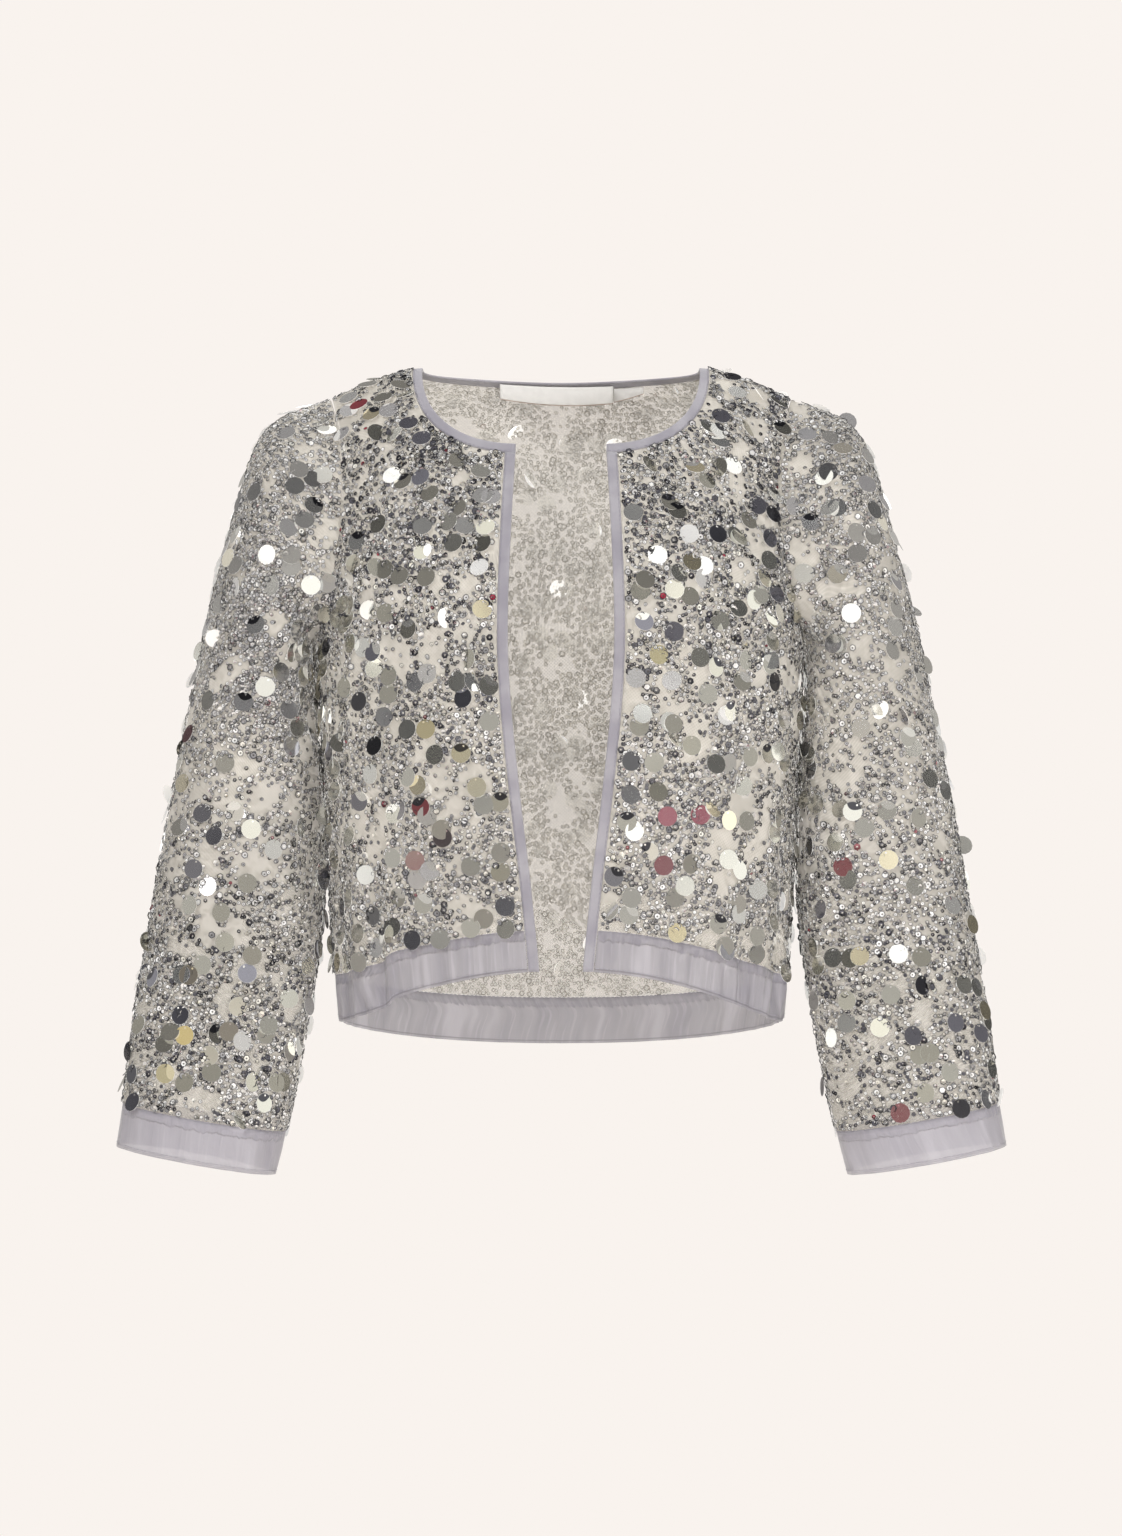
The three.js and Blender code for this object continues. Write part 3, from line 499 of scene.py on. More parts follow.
def bordered_place(inner, at_back, u, v, top=None):
    """Places of a panel between an inner border, the side border, a straight foot and the top, or else the
    shoulder: side mix plus end mix less corner mix."""
    nought, one = np.zeros_like(u), np.ones_like(u)
    foot = mixed(inner(nought), side_border(nought, at_back), u)
    head = mixed(inner(one), side_border(one, at_back), u)
    sides = mixed(inner(v), side_border(v, at_back), u)
    if top is None:
        top = np.stack([head[0], 2 * one])
    return sides + mixed(foot, top, v) - mixed(foot, head, v)


def grid_shares(columns, rows):
    """Shares from 0 to 1 across and up a grid, as two arrays of rows by columns."""
    return np.meshgrid(np.linspace(0, 1, columns + 1), np.linspace(0, 1, rows + 1))


def past_bend(share):
    """How far a share of a border has gone from its bend to its end."""
    return np.clip((share - BORDER_BEND) / (1 - BORDER_BEND), 0, 1)


def front_panel(side):
    """Grid of one front's outer face, from binding to side seam and from hem seam to shoulder."""
    out = BINDING_SIDE + SEAM_GAP
    reach = NECK_HALF_WIDTH - NECK_CORNER_X + BINDING_SIDE + SEAM_GAP
    start = math.asin(((FRONT_BINDING_WIDTH + SEAM_GAP) / reach) ** (NECK_SQUARENESS / 2))
    low = hem_height(HEM_SEAM, 0.0) + SEAM_GAP
    high = body_point(*neck_place(start, out, out, False), side)[2]

    def inner(v):
        up = low + (high - low) * np.clip(v / BORDER_BEND, 0, 1)
        neck = neck_place(start + (np.pi / 2 - start) * past_bend(v), out, out, False)
        return np.where(v > BORDER_BEND, neck, edge_place(up, FRONT_BINDING_WIDTH + SEAM_GAP))

    u, v = grid_shares(*FRONT_GRID)
    return body_point(*bordered_place(inner, False, u, v), side)


def back_panel():
    """Grid of the back's outer face, from the wearer's left side seam to the right one."""
    out, down = BINDING_SIDE + SEAM_GAP, BINDING_BACK_DROP + SEAM_GAP / 2
    middle = neck_place(0.0, out, down, True)[1]
    share, v = grid_shares(*BACK_GRID)
    across = 2 * share - 1
    u = np.abs(across)
    neck = neck_place(np.pi / 2 * np.clip(u / BORDER_BEND, 0, 1), out, down, True)
    shoulder_end = neck_place(np.full_like(u, np.pi / 2), out, down, True)
    shoulder = mixed(shoulder_end, armhole_place(np.zeros_like(u), True), past_bend(u))

    def inner(v):
        return np.stack([np.full_like(v, np.pi), BOTTOM_LEVEL + (middle - BOTTOM_LEVEL) * v])

    top = np.where(u <= BORDER_BEND, neck, shoulder)
    return body_point(*bordered_place(inner, True, u, v, top), np.where(across > 0, -1.0, 1.0))


def sleeve_oval(row, angle):
    """The plain squarish oval of a sleeve section: middle plus cosine across plus sine in depth."""
    outer_x, outer_z, inner_x, inner_z, depth, y = (
        read_curve(SLEEVE_SECTIONS, "row", name, row) for name in SLEEVE_SECTIONS[0]._fields[1:]
    )
    outer, inner = np.stack([outer_x, y, outer_z], -1), np.stack([inner_x, y, inner_z], -1)
    power = 2 / SLEEVE_SQUARENESS
    across = signed_power(np.cos(angle), power)[..., None]
    forward = (depth * signed_power(np.sin(angle), power))[..., None]
    middle = (outer + inner) / 2
    return middle + (outer - inner) / 2 * across + np.array([0.0, -1.0, 0.0]) * forward, middle


def sleeve_point(angle, row, side):
    """A point of a sleeve's outer face: the section's oval, the armhole's own shape fading out over the
    first sections, and the folds pushed out from the middle."""
    around = angle % (2 * np.pi)
    point, middle = sleeve_oval(row, around)
    start, _ = sleeve_oval(np.zeros_like(row), around)
    armhole = body_point(*armhole_place(np.minimum(around, 2 * np.pi - around), around > np.pi), side)
    armhole[..., 0] *= side
    fade = np.clip((CAP_REACH - row) / CAP_REACH, 0, 1)
    fade = (fade * fade * (3 - 2 * fade))[..., None]
    point = point + (armhole - start) * fade
    out = unit(point - middle)
    total = np.zeros(row.shape)
    for f in SLEEVE_FOLDS + (LEFT_SLEEVE_CREASES if side > 0 else RIGHT_SLEEVE_CREASES):
        ends = (f.section - f.length / 2, f.section + f.length / 2)
        total += fold_height(np.degrees(around), row, f.turn, *ends, f.width, f.depth, f.lean)
    ripple = np.sin(9 * around + side) + 0.7 * np.sin(16 * around + 2.0)
    total += CUFF_RIPPLE * ripple * np.clip((row - CUFF_SECTION) * 3, 0, 1)
    point = point + out * total[..., None]
    point[..., 0] *= side
    return point


def sleeve_tube(side, first, last, grid):
    """Grid of a sleeve between two rows of its table. Its last column repeats the first."""
    u, v = grid_shares(*grid)
    return sleeve_point(2 * np.pi * u, first + (last - first) * v, side)


def front_hem_band(side):
    """The front's stretch of the hem band, from the front binding to the join before the side seam."""
    top, edge = hem_height(HEM_SEAM, 0.0), hem_height(HEM_EDGE, 0.0)
    u, v = grid_shares(*FRONT_HEM_GRID)
    level = v - 1
    start = edge_place(top + (top - edge) * level, FRONT_BINDING_WIDTH + SEAM_GAP)[0]
    end = turn_at(BAND_JOIN_X, HEM_EDGE.side) - BAND_JOIN_GAP
    return turned_out(body_point(start + (end - start) * u, level, side), CHEST)


def back_hem_band():
    """The rest of the hem band in one strip, from the left join over the back to the right one."""
    start = turn_at(BAND_JOIN_X, HEM_EDGE.side) + BAND_JOIN_GAP
    u, v = grid_shares(*BACK_HEM_GRID)
    turn = start + (2 * np.pi - 2 * start) * u
    side = np.where(turn > np.pi, -1.0, 1.0)
    return turned_out(body_point(np.minimum(turn, 2 * np.pi - turn), v - 1, side), CHEST)


def cuff_band(side):
    """Grid of a cuff band, from its edge up to the seam. Its last column repeats the first."""
    points = sleeve_tube(side, CUFF_START, len(SLEEVE_SECTIONS) - 1, CUFF_GRID)[::-1]
    return turned_out(points, sleeve_middle(side))


def front_binding(side):
    """The binding of a front edge, from the hem's edge to just under the neck binding."""
    top = -(FRONT_NECK_DROP + BINDING_SIDE) + BINDING_OVERLAP
    bottom = hem_height(HEM_EDGE, turn_at(FRONT_EDGE[1].x, HEM_EDGE.side))
    u, v = grid_shares(*FRONT_BINDING_GRID)
    turn, level = edge_place(bottom + (top - bottom) * v, FRONT_BINDING_WIDTH * u)
    return turned_out(body_point(turn, np.maximum(level, -1), side), CHEST, axis=0)


def neck_binding():
    """The neck binding in one strip: left front, back, right front. Three stretches of the neckline. Its
    rows run along it, and its first column is the free edge."""
    wide, share = grid_shares(*NECK_BINDING_GRID)
    along = 3 * share
    at_back = (along > 1) & (along <= 2)
    back_angle = np.abs(3 - 2 * along) * np.pi / 2
    front_angle = np.where(along < 1.5, along, 3 - along) * np.pi / 2
    drop = np.where(at_back, BINDING_BACK_DROP, BINDING_SIDE) * wide
    place = neck_place(np.where(at_back, back_angle, front_angle), BINDING_SIDE * wide, drop, at_back)
    return turned_out(body_point(*place, np.where(along > 1.5, -1.0, 1.0)), CHEST, axis=0)


def neck_tab(tab):
    """A strip that hangs inside the back of the neck. Each line drops from the binding and leans back, its
    length goes evenly from end to end plus a parabola's sag, and a slight wave runs along the foot."""
    u, v = grid_shares(*TAB_GRID)
    x = tab.left + (tab.right - tab.left) * u
    side = BINDING_SIDE * tab.start
    angle = np.arcsin((np.abs(x) / (NECK_HALF_WIDTH + side)) ** (NECK_SQUARENESS / 2))
    top = body_point(*neck_place(angle, side, BINDING_BACK_DROP * tab.start, True), np.ones_like(x))
    length = tab.height[0] + (tab.height[1] - tab.height[0]) * u + tab.belly * 4 * u * (1 - u)
    under = tab.under[0] + (tab.under[1] - tab.under[0]) * u
    down = length * (1 - v)
    wave = 0.5 * np.sin(np.pi * v) + 0.25 * np.sin(5 * np.pi * u) * (1 - v)
    y = top[..., 1] - tab.inwards + down * tab.lean - wave
    return turned_out(np.stack([x, y, top[..., 2] - under - down], -1), BEHIND_NECK)


def unit(vectors):
    """The directions of vectors."""
    return vectors / np.maximum(np.linalg.norm(vectors, axis=-1, keepdims=True), 1e-9)


def grid_normals(points, closed=False):
    """Directions straight out of a grid: slope across crossed with slope up, at each point."""
    if closed:
        wrapped = np.concatenate([points[:, -2:-1], points, points[:, 1:2]], axis=1)
        across = wrapped[:, 2:] - wrapped[:, :-2]
    else:
        across = np.gradient(points, axis=1)
    return unit(np.cross(across, np.gradient(points, axis=0)))


def grid_lengths(points):
    """How far each point of a grid lies from its first column and its first row, along the cloth."""
    across = np.linalg.norm(np.diff(points, axis=1), axis=-1).cumsum(axis=1)
    up = np.linalg.norm(np.diff(points, axis=0), axis=-1).cumsum(axis=0)
    return np.pad(across, ((0, 0), (1, 0))), np.pad(up, ((1, 0), (0, 0)))


def cell_areas(points):
    """Area of each cell of a grid: half the cross product of its diagonals."""
    one, two = points[1:, 1:] - points[:-1, :-1], points[1:, :-1] - points[:-1, 1:]
    return np.linalg.norm(np.cross(one, two), axis=-1) / 2


def turned_out(points, inside, axis=1):
    """The grid, run the other way along one axis where its faces would look towards a point inside."""
    out = (grid_normals(points) * (points - np.array(inside, float))).sum()
    return points if out > 0 else np.flip(points, axis)


def fill_mesh(mesh, points, corners):
    """Puts points and faces, all with one number of corners, into a mesh from whole arrays."""
    count, sides = corners.shape
    mesh.vertices.add(len(points))
    mesh.vertices.foreach_set("co", np.ascontiguousarray(points, np.float32).ravel())
    mesh.loops.add(count * sides)
    mesh.loops.foreach_set("vertex_index", np.ascontiguousarray(corners, np.int32).ravel())
    mesh.polygons.add(count)
    mesh.polygons.foreach_set("loop_start", np.arange(count, dtype=np.int32) * sides)
    mesh.update(calc_edges=True)
    mesh.validate()


def body_mesh(name, points, corners):
    """A mesh in metres, in the frame's own axes, from points in millimetres."""
    mesh = bpy.data.meshes.new(name)
    fill_mesh(mesh, points * MM + np.array([0, 0, NECK_POINT_RISE * MM]), corners)
    return mesh


def point_values(mesh, name, kind, key, values):
    """Gives a mesh a named value at every point."""
    mesh.attributes.new(name, kind, "POINT").data.foreach_set(key, values.astype(np.float32).ravel())


def add_piece(name, mesh, material_name):
    """Links a mesh as a piece of the object that rides on the one body."""
    piece = bpy.data.objects.new(name, mesh)
    mesh.materials.append(kept_material(material_name))
    bpy.context.collection.objects.link(piece)
    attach(piece, BODY)
    return piece


def wall_corners(index, behind, closed):
    """The corners of a wall's faces from the numbers of its outer points: the outer face, the same one
    behind it turned round, and the rims that join the two."""
    a, b = index[:-1, :-1].ravel(), index[:-1, 1:].ravel()
    c, d = index[1:, 1:].ravel(), index[1:, :-1].ravel()
    faces = [np.stack([a, b, c, d], 1), np.stack([d, c, b, a], 1) + behind]
    borders = [(index[0, :-1], index[0, 1:]), (index[-1, 1:], index[-1, :-1])]
    if not closed:
        borders += [(index[1:, 0], index[:-1, 0]), (index[:-1, -1], index[1:, -1])]
    for start, end in borders:
        faces.append(np.stack([end, start, start + behind, end + behind], 1))
    return np.concatenate(faces)


def cloth_wall(name, points, thickness, material_name, closed=False):
    """A cloth from its outer face: that grid, the same moved inwards by the thickness, and the rims between.
    The UV map holds metres along and up the cloth, and rim the metres to the nearer of its top and bottom."""
    rows, columns = points.shape[:2]
    across, up = grid_lengths(points)
    inner = points - grid_normals(points, closed) * thickness / MM
    index = np.arange(rows * columns).reshape(rows, columns)
    on_map = wall_corners(index, rows * columns, closed)
    if closed:
        index = np.concatenate([index[:, :-1], index[:, :1]], axis=1)
    corners = wall_corners(index, rows * columns, closed)
    both = np.concatenate([points.reshape(-1, 3), inner.reshape(-1, 3)])
    used, packed = np.unique(corners, return_inverse=True)
    mesh = body_mesh(name, both[used], packed.reshape(corners.shape))
    flat = np.tile(np.stack([across, up], -1).reshape(-1, 2) * MM, (2, 1))
    mesh.uv_layers.new(name="cloth").data.foreach_set("uv", flat[on_map].astype(np.float32).ravel())
    rim = np.tile(np.minimum(up, up[-1:] - up).ravel() * MM, 2)[used]
    point_values(mesh, "rim", "FLOAT", "value", rim)
    mesh.polygons.foreach_set("use_smooth", np.ones(len(corners), bool))
    return add_piece(name, mesh, material_name)


def folded(points, depth):
    """A strip folded double over its first column: the layer given, a half-round fold past that column
    and a second layer that lies the depth behind the first."""
    normals = grid_normals(points)
    ahead = unit(points[:, 1:2] - points[:, :1])
    angle = np.linspace(0, np.pi, FOLD_STEPS)[None, :, None]
    middle = points[:, :1] - normals[:, :1] * depth / 2
    fold = middle + depth / 2 * (normals[:, :1] * np.cos(angle) - ahead * np.sin(angle))
    behind = points - normals * depth
    return np.concatenate([points[:, :0:-1], fold, behind[:, 1:]], axis=1)[::-1]


def sew_cloth(node, look, points, wall, closed=False, allowance=0.0):
    """Makes one cloth in place of its solid, and works out its longest way across and up, with what is caught
    in the seam, and its area where it is no rectangle, but does nothing more with them. The look is a prefix,
    material and slot; the slot is not used."""
    prefix, material_name, slot = look
    piece = cloth_wall(f"{prefix}_{node}", points, wall, material_name, closed)
    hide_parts(node)
    across, up = grid_lengths(points)
    width, length = float(across[:, -1].max()) * MM, float(up[-1].max() + allowance) * MM
    area = float(cell_areas(points).sum()) * MM * MM
    area = min(area + allowance * MM * width, width * length)


def cloud(points, wavelength, seed):
    """A smooth random field over space: plane waves of about one length in random directions, of unit
    spread."""
    rng = np.random.default_rng(seed)
    ways = unit(rng.normal(size=(WAVES, 3)))
    waves = ways * (2 * np.pi / wavelength * rng.uniform(*WAVE_SHARES, (WAVES, 1)))
    phase = rng.uniform(0, 2 * np.pi, WAVES)
    return np.cos(points @ waves.T + phase).sum(axis=1) * math.sqrt(2 / WAVES)


def scattered(points, pitch, seed, margin, closed):
    """Random places on a grid, one in each square cell of the cloth: many draws, evenly over the area,
    of which the first in each cell is kept. Gives points, outward directions and the rng."""
    rng = np.random.default_rng(seed)
    across, up = grid_lengths(points)
    area = cell_areas(points)
    draws = int(area.sum() / pitch**2 * DRAWS_PER_CELL)
    cell = rng.choice(area.size, draws, p=(area / area.sum()).ravel())
    j, i = np.unravel_index(cell, area.shape)
    s, t = rng.random(draws), rng.random(draws)

    def at(grid):
        a, b = (share.reshape(-1, *[1] * (grid.ndim - 2)) for share in (s, t))
        low = (1 - a) * (1 - b) * grid[j, i] + a * (1 - b) * grid[j, i + 1]
        return low + (1 - a) * b * grid[j + 1, i] + a * b * grid[j + 1, i + 1]

    x, y = at(across), at(up)
    room = np.minimum(y, at(up[-1:].repeat(len(up), axis=0)) - y)
    if not closed:
        room = np.minimum(room, np.minimum(x, at(across[:, -1:].repeat(across.shape[1], axis=1)) - x))
    inside = room > margin
    keys = np.floor(x / pitch).astype(int) * MOST_CELLS + np.floor(y / pitch).astype(int)
    keys[~inside] = -1
    _, first = np.unique(keys, return_index=True)
    first = first[inside[first]]
    return at(points)[first], unit(at(grid_normals(points, closed))[first]), rng


def spun(a, b, angle):
    """Two axes turned in their own plane, each row by its angle."""
    cos, sin = np.cos(angle)[:, None], np.sin(angle)[:, None]
    return a * cos + b * sin, b * cos - a * sin


def hanging_frames(normals, turn, tilt, roll):
    """Axes of small discs that hang on a surface: up is the way up along the cloth, turned, then tipped so
    that the foot stands off, then rolled about it. Gives right, up and out, a row for each disc."""
    up = np.array([0.0, 0.0, 1.0]) - normals * normals[:, 2:3]
    flat = np.linalg.norm(up, axis=1) < 0.15
    up[flat] = np.array([0.0, -1.0, 0.0]) - normals[flat] * -normals[flat, 1:2]
    up = unit(up)
    up, right = spun(up, np.cross(up, normals), turn)
    out, up = spun(normals, up, tilt)
    right, out = spun(right, out, roll)
    return right, up, out


def copies_mesh(name, shape, places, axes, sizes):
    """One mesh of many copies of a small closed shape: each copy's points are its place plus its axes
    times the shape's coordinates times its size."""
    base, faces = shape
    scaled = base[None] * sizes[:, None, None]
    points = places[:, None]
    for k, axis in enumerate(axes):
        points = points + scaled[..., k : k + 1] * axis[:, None]
    corners = (faces[None] + np.arange(len(places))[:, None, None] * len(base)).reshape(-1, 3)
    return body_mesh(name, points.reshape(-1, 3), corners)


def sew_sequins(name, material_name, shape, places, axes, sizes, colours, spot):
    """A piece of many sequins. colours has a row for each, and spot one for each point of each."""
    mesh = copies_mesh(name, shape, places, axes, sizes)
    shade = np.ones((len(places), len(shape[0]), 4))
    shade[..., :3] = colours[:, None]
    point_values(mesh, "shade", "FLOAT_COLOR", "color", shade)
    point_values(mesh, "spot", "FLOAT_VECTOR", "vector", spot)
    mesh.polygons.foreach_set("use_smooth", np.zeros(len(mesh.polygons), bool))
    add_piece(name, mesh, material_name)


def ring(sides, height):
    """Points round a circle one wide at a height, their numbers and those of the next."""
    angle = np.arange(sides) * 2 * np.pi / sides
    points = np.stack([np.cos(angle) / 2, np.sin(angle) / 2, np.full(sides, height)], 1)
    return points, np.arange(sides), (np.arange(sides) + 1) % sides


def triangles(*corners):
    """Triangles from the numbers of their first, second and third corners."""
    return np.stack(np.broadcast_arrays(*corners), 1)


def cup_shape(sides=6):
    """A faceted cup: a ring of rim points, a hollow centre above and a rounded underside below."""
    rim, k, after = ring(sides, 0.19)
    points = np.concatenate([rim, [[0, 0, 0.02], [0, 0, -0.05]]])
    return points, np.concatenate([triangles(k, after, sides), triangles(after, k, sides + 1)])


def disc_shape(sides=14, half=0.009):
    """A flat disc: two rings with a centre each, and a thin rim between."""
    top, k, after = ring(sides, half)
    bottom = ring(sides, -half)[0]
    points = np.concatenate([top, bottom, [[0, 0, half], [0, 0, -half]]])
    faces = [
        triangles(k, after, 2 * sides),
        triangles(after + sides, k + sides, 2 * sides + 1),
        triangles(k, k + sides, after),
        triangles(after, k + sides, after + sides),
    ]
    return points, np.concatenate(faces)


def stitch_shape(length, width):
    """One stitch: a low bar with four sides and pointed ends."""
    a, b, w = length / 2, length / 2 - width, width / 2
    bar = np.array([[0, w, 0], [0, 0, w], [0, -w, 0], [0, 0, -w]])
    points = np.concatenate([bar + [b, 0, 0], bar - [b, 0, 0], [[a, 0, -w], [-a, 0, -w]]])
    k = np.arange(4)
    after = (k + 1) % 4
    faces = [
        triangles(k, after, k + 4),
        triangles(after, after + 4, k + 4),
        triangles(after, k, 8),
        triangles(k + 4, after + 4, 9),
    ]
    return points, np.concatenate(faces)


def picked_colours(rng, rows, count, spread):
    """A colour for each copy, drawn from a table by its shares, each made a little lighter or darker."""
    shares = np.array([row.share for row in rows])
    palette = np.array([row.colour for row in rows])
    colours = palette[rng.choice(len(rows), count, p=shares / np.sum(shares))]
    return np.clip(colours * rng.normal(1, spread, (count, 1)), 0.01, 1)


def paled(colours, places, amounts, sleeve):
    """The colours, with painted light mixed in as a pale tone by a straight rise down the body, and up a
    sleeve.
    """
    low = np.clip((places[:, 2:3] - PALE_FROM_HEIGHT) / (PALE_TO_HEIGHT - PALE_FROM_HEIGHT), 0, 1)
    if sleeve:
        return colours + (PALE_SEQUIN - colours) * amounts[0] * (1 - low)
    return colours + (PALE_SEQUIN - colours) * amounts[1] * low


def sew_cups(node, seed):
    """Sews small cups on a cloth in winding clusters: a cup stays where a random field lies within the
    winding's half width of nought, or where a slower one is high, so that the net shows between. A few
    stray cups stay anywhere."""
    sequins = bpy.context.scene.bolero_sequins
    points, closed = cloth_grid(node)
    pitch, winding = CUP_WINDINGS[node.split("_")[0]]
    places, normals, rng = scattered(points, sequins.cup_pitch / MM * pitch, seed, CUP_MARGIN, closed)
    field = cloud(places, WINDING_LENGTH, seed + 1)
    broad = cloud(places, BROAD_LENGTH, seed + 2)
    keep = np.abs(field) < winding + BROADENING * broad
    keep |= cloud(places, FILLING_LENGTH, seed + 3) > FILLED_ABOVE
    keep |= rng.random(len(places)) < STRAY_CUPS
    places, normals, broad = places[keep], normals[keep], broad[keep]
    count = len(places)
    turn = rng.uniform(0, 2 * np.pi, count)
    tilt = rng.normal(*CUP_TILT, count)
    roll = rng.normal(*CUP_ROLL, count)
    large = rng.random(count) < sequins.large_share
    sizes = np.where(large, sequins.large_cup_width, sequins.cup_width) / MM * rng.uniform(*CUP_SIZES, count)
    # Tones from the table, partly painted reflection, paled below by height as painted light.
    colours = picked_colours(rng, CUP_FINISHES_AND_REFLECTIONS, count, CUP_TONES)
    colours *= np.clip(1 + BROAD_TONES * broad, *TONE_LIMITS)[:, None]
    colours = np.clip(paled(colours, places, CUP_PALENESS, closed), 0, 1)
    base, faces = cup_shape()
    lift = normals * rng.uniform(*CUP_LIFT, (count, 1))
    spot = np.zeros((count, len(base), 3))
    spot[..., 0] = np.hypot(base[:, 0], base[:, 1]) * 2
    spot[..., 1] = rng.random((count, 1))
    spot[..., 2] = base[:, 2] < 0
    axes = hanging_frames(normals, turn, tilt, roll)
    sew_sequins(f"cups_{node}", "sequin_cups", (base, faces), places + lift, axes, sizes, colours, spot)


def sew_discs(node, seed):
    """Sews flat discs on a cloth, each hanging by a hole near its top, its foot standing off a little."""
    sequins = bpy.context.scene.bolero_sequins
    points, closed = cloth_grid(node)
    places, normals, rng = scattered(points, sequins.disc_pitch / MM, seed, DISC_MARGIN, closed)
    keep = rng.random(len(places)) < sequins.disc_share * (SLEEVE_DISC_SHARE if closed else 1)
    places, normals = places[keep], normals[keep]
    count = len(places)
    turn = rng.normal(*DISC_TURN, count)
    tilt = np.abs(rng.normal(*DISC_TILT, count)) + DISC_LEAST_TILT
    roll = rng.normal(*DISC_ROLL, count) + rng.normal(*ROLLED, count) * (rng.random(count) < ROLLED_SHARE)
    axes = hanging_frames(normals, turn, tilt, roll)
    width = sequins.disc_width / MM
    centres = places + normals * rng.uniform(*DISC_LIFT, (count, 1)) - axes[1] * (HOLE_UP * width)
    # Tones from the table, partly painted reflection, paled below by height as painted light.
    colours = picked_colours(rng, DISC_FINISHES_AND_REFLECTIONS, count, DISC_TONES)
    colours = paled(colours, places, DISC_PALENESS, closed)
    base, faces = disc_shape()
    spot = np.zeros((count, len(base), 3))
    spot[..., :2] = base[:, :2] * 2
    draw = rng.uniform(0.001, 1, (count, 1))
    spot[..., 2] = np.where(base[:, 2] > 0, draw, -draw)
    sizes = np.full(count, width)
    sew_sequins(f"discs_{node}", "sequin_discs", (base, faces), centres, axes, sizes, colours, spot)


def stitch_run(line, normals):
    """Places and axes of the stitches along a line on a cloth, evenly spaced by their length and gap."""
    step = np.linalg.norm(np.diff(line, axis=0), axis=1)
    along = np.concatenate([[0], np.cumsum(step)])
    at = np.arange(STITCH_GAP, along[-1] - STITCH_LENGTH, STITCH_LENGTH + STITCH_GAP) + STITCH_LENGTH / 2

    def read(values, where):
        return np.stack([np.interp(where, along, values[:, k]) for k in range(3)], 1)

    places, out = read(line, at), unit(read(normals, at))
    forward = unit(read(line, at + 0.5) - places)
    return places + out * STITCH_WIDTH * 0.4, forward, np.cross(out, forward), out


def grid_line(points, row_share=None, column_share=None, closed=False):
    """A line along a grid at a share of its rows or columns, with its outward directions."""
    normals = grid_normals(points, closed)
    if row_share is not None:
        j = round(row_share * (points.shape[0] - 1))
        return points[j], normals[j]
    i = round(column_share * (points.shape[1] - 1))
    return points[:, i], normals[:, i]


class Shader:
    """A material's or world's node tree, emptied, with short ways to add and join nodes."""

    def __init__(self, owner):
        owner.use_nodes = True
        self.owner, self.tree = owner, owner.node_tree
        self.tree.nodes.clear()

    def node(self, kind, inputs=None, **settings):
        """Adds a node, sets its settings, and joins or sets its inputs."""
        made = self.tree.nodes.new("ShaderNode" + kind)
        for key, value in settings.items():
            setattr(made, key, value)
        for key, value in (inputs or {}).items():
            if isinstance(value, bpy.types.NodeSocket):
                self.tree.links.new(value, made.inputs[key])
            else:
                made.inputs[key].default_value = value
        return made

    def math(self, operation, a, b=0.0):
        """One sum of two numbers or sockets."""
        return self.node("Math", {0: a, 1: b}, operation=operation).outputs[0]

    def times(self, a, b):
        """The product of two numbers or sockets."""
        return self.math("MULTIPLY", a, b)

    def plus(self, a, b):
        """The sum of two numbers or sockets."""
        return self.math("ADD", a, b)

    def less(self, a, b):
        """The first number or socket less the second."""
        return self.math("SUBTRACT", a, b)

    def above(self, a, limit):
        """1 where a is over the limit, or else 0."""
        return self.math("GREATER_THAN", a, limit)

    def far(self, x, y):
        """The distance of a point from nought."""
        return self.math("SQRT", self.plus(self.times(x, x), self.times(y, y)))

    def ramp(self, value, low, high, kind="SMOOTHSTEP"):
        """0 at low, 1 at high, and a step between, which is smooth unless its kind is LINEAR."""
        inputs = {"Value": value, "From Min": low, "From Max": high}
        return self.node("MapRange", inputs, interpolation_type=kind).outputs[0]

    def blend(self, share, a, b, most=None):
        """A colour a share of the way from a to b, the share taken times the most."""
        if most is not None:
            share = self.times(share, most)
        inputs = {"Factor": share}
        for key, value in ((6, a), (7, b)):
            inputs[key] = value if isinstance(value, bpy.types.NodeSocket) else (*value, 1.0)
        return self.node("Mix", inputs, data_type="RGBA").outputs[2]

    def noise(self, vector, scale, detail=2.0):
        """Cloudy noise from 0 to 1."""
        return self.node("TexNoise", {"Vector": vector, "Scale": scale, "Detail": detail}).outputs["Fac"]

    def on_cloth(self):
        """Metres along and up a cloth."""
        return self.node("UVMap", uv_map="cloth").outputs[0]

    def in_space(self):
        """The place in the object's own axes."""
        return self.node("TexCoord").outputs["Object"]

    def parts(self, vector):
        """The three numbers of a vector."""
        return self.node("SeparateXYZ", {"Vector": vector}).outputs

    def read(self, name, kind="Fac"):
        """A value that the mesh has at its points."""
        return self.node("Attribute", attribute_name=name).outputs[kind]

    def bumps(self, height, strength, distance):
        """Directions of a surface that rises and falls with a height."""
        inputs = {"Height": height, "Strength": strength, "Distance": distance}
        return self.node("Bump", inputs).outputs[0]

    def surface(self, colour, roughness, **inputs):
        """Ends the material in one Principled node. An underline in an input's name stands for a space."""
        named = {key.replace("_", " "): value for key, value in inputs.items()}
        made = self.node("BsdfPrincipled", {"Base Color": colour, "Roughness": roughness, **named})
        self.node("OutputMaterial", {"Surface": made.outputs[0]})


def toned(colour, factor):
    """A colour times a number."""
    return tuple(c * factor for c in colour)


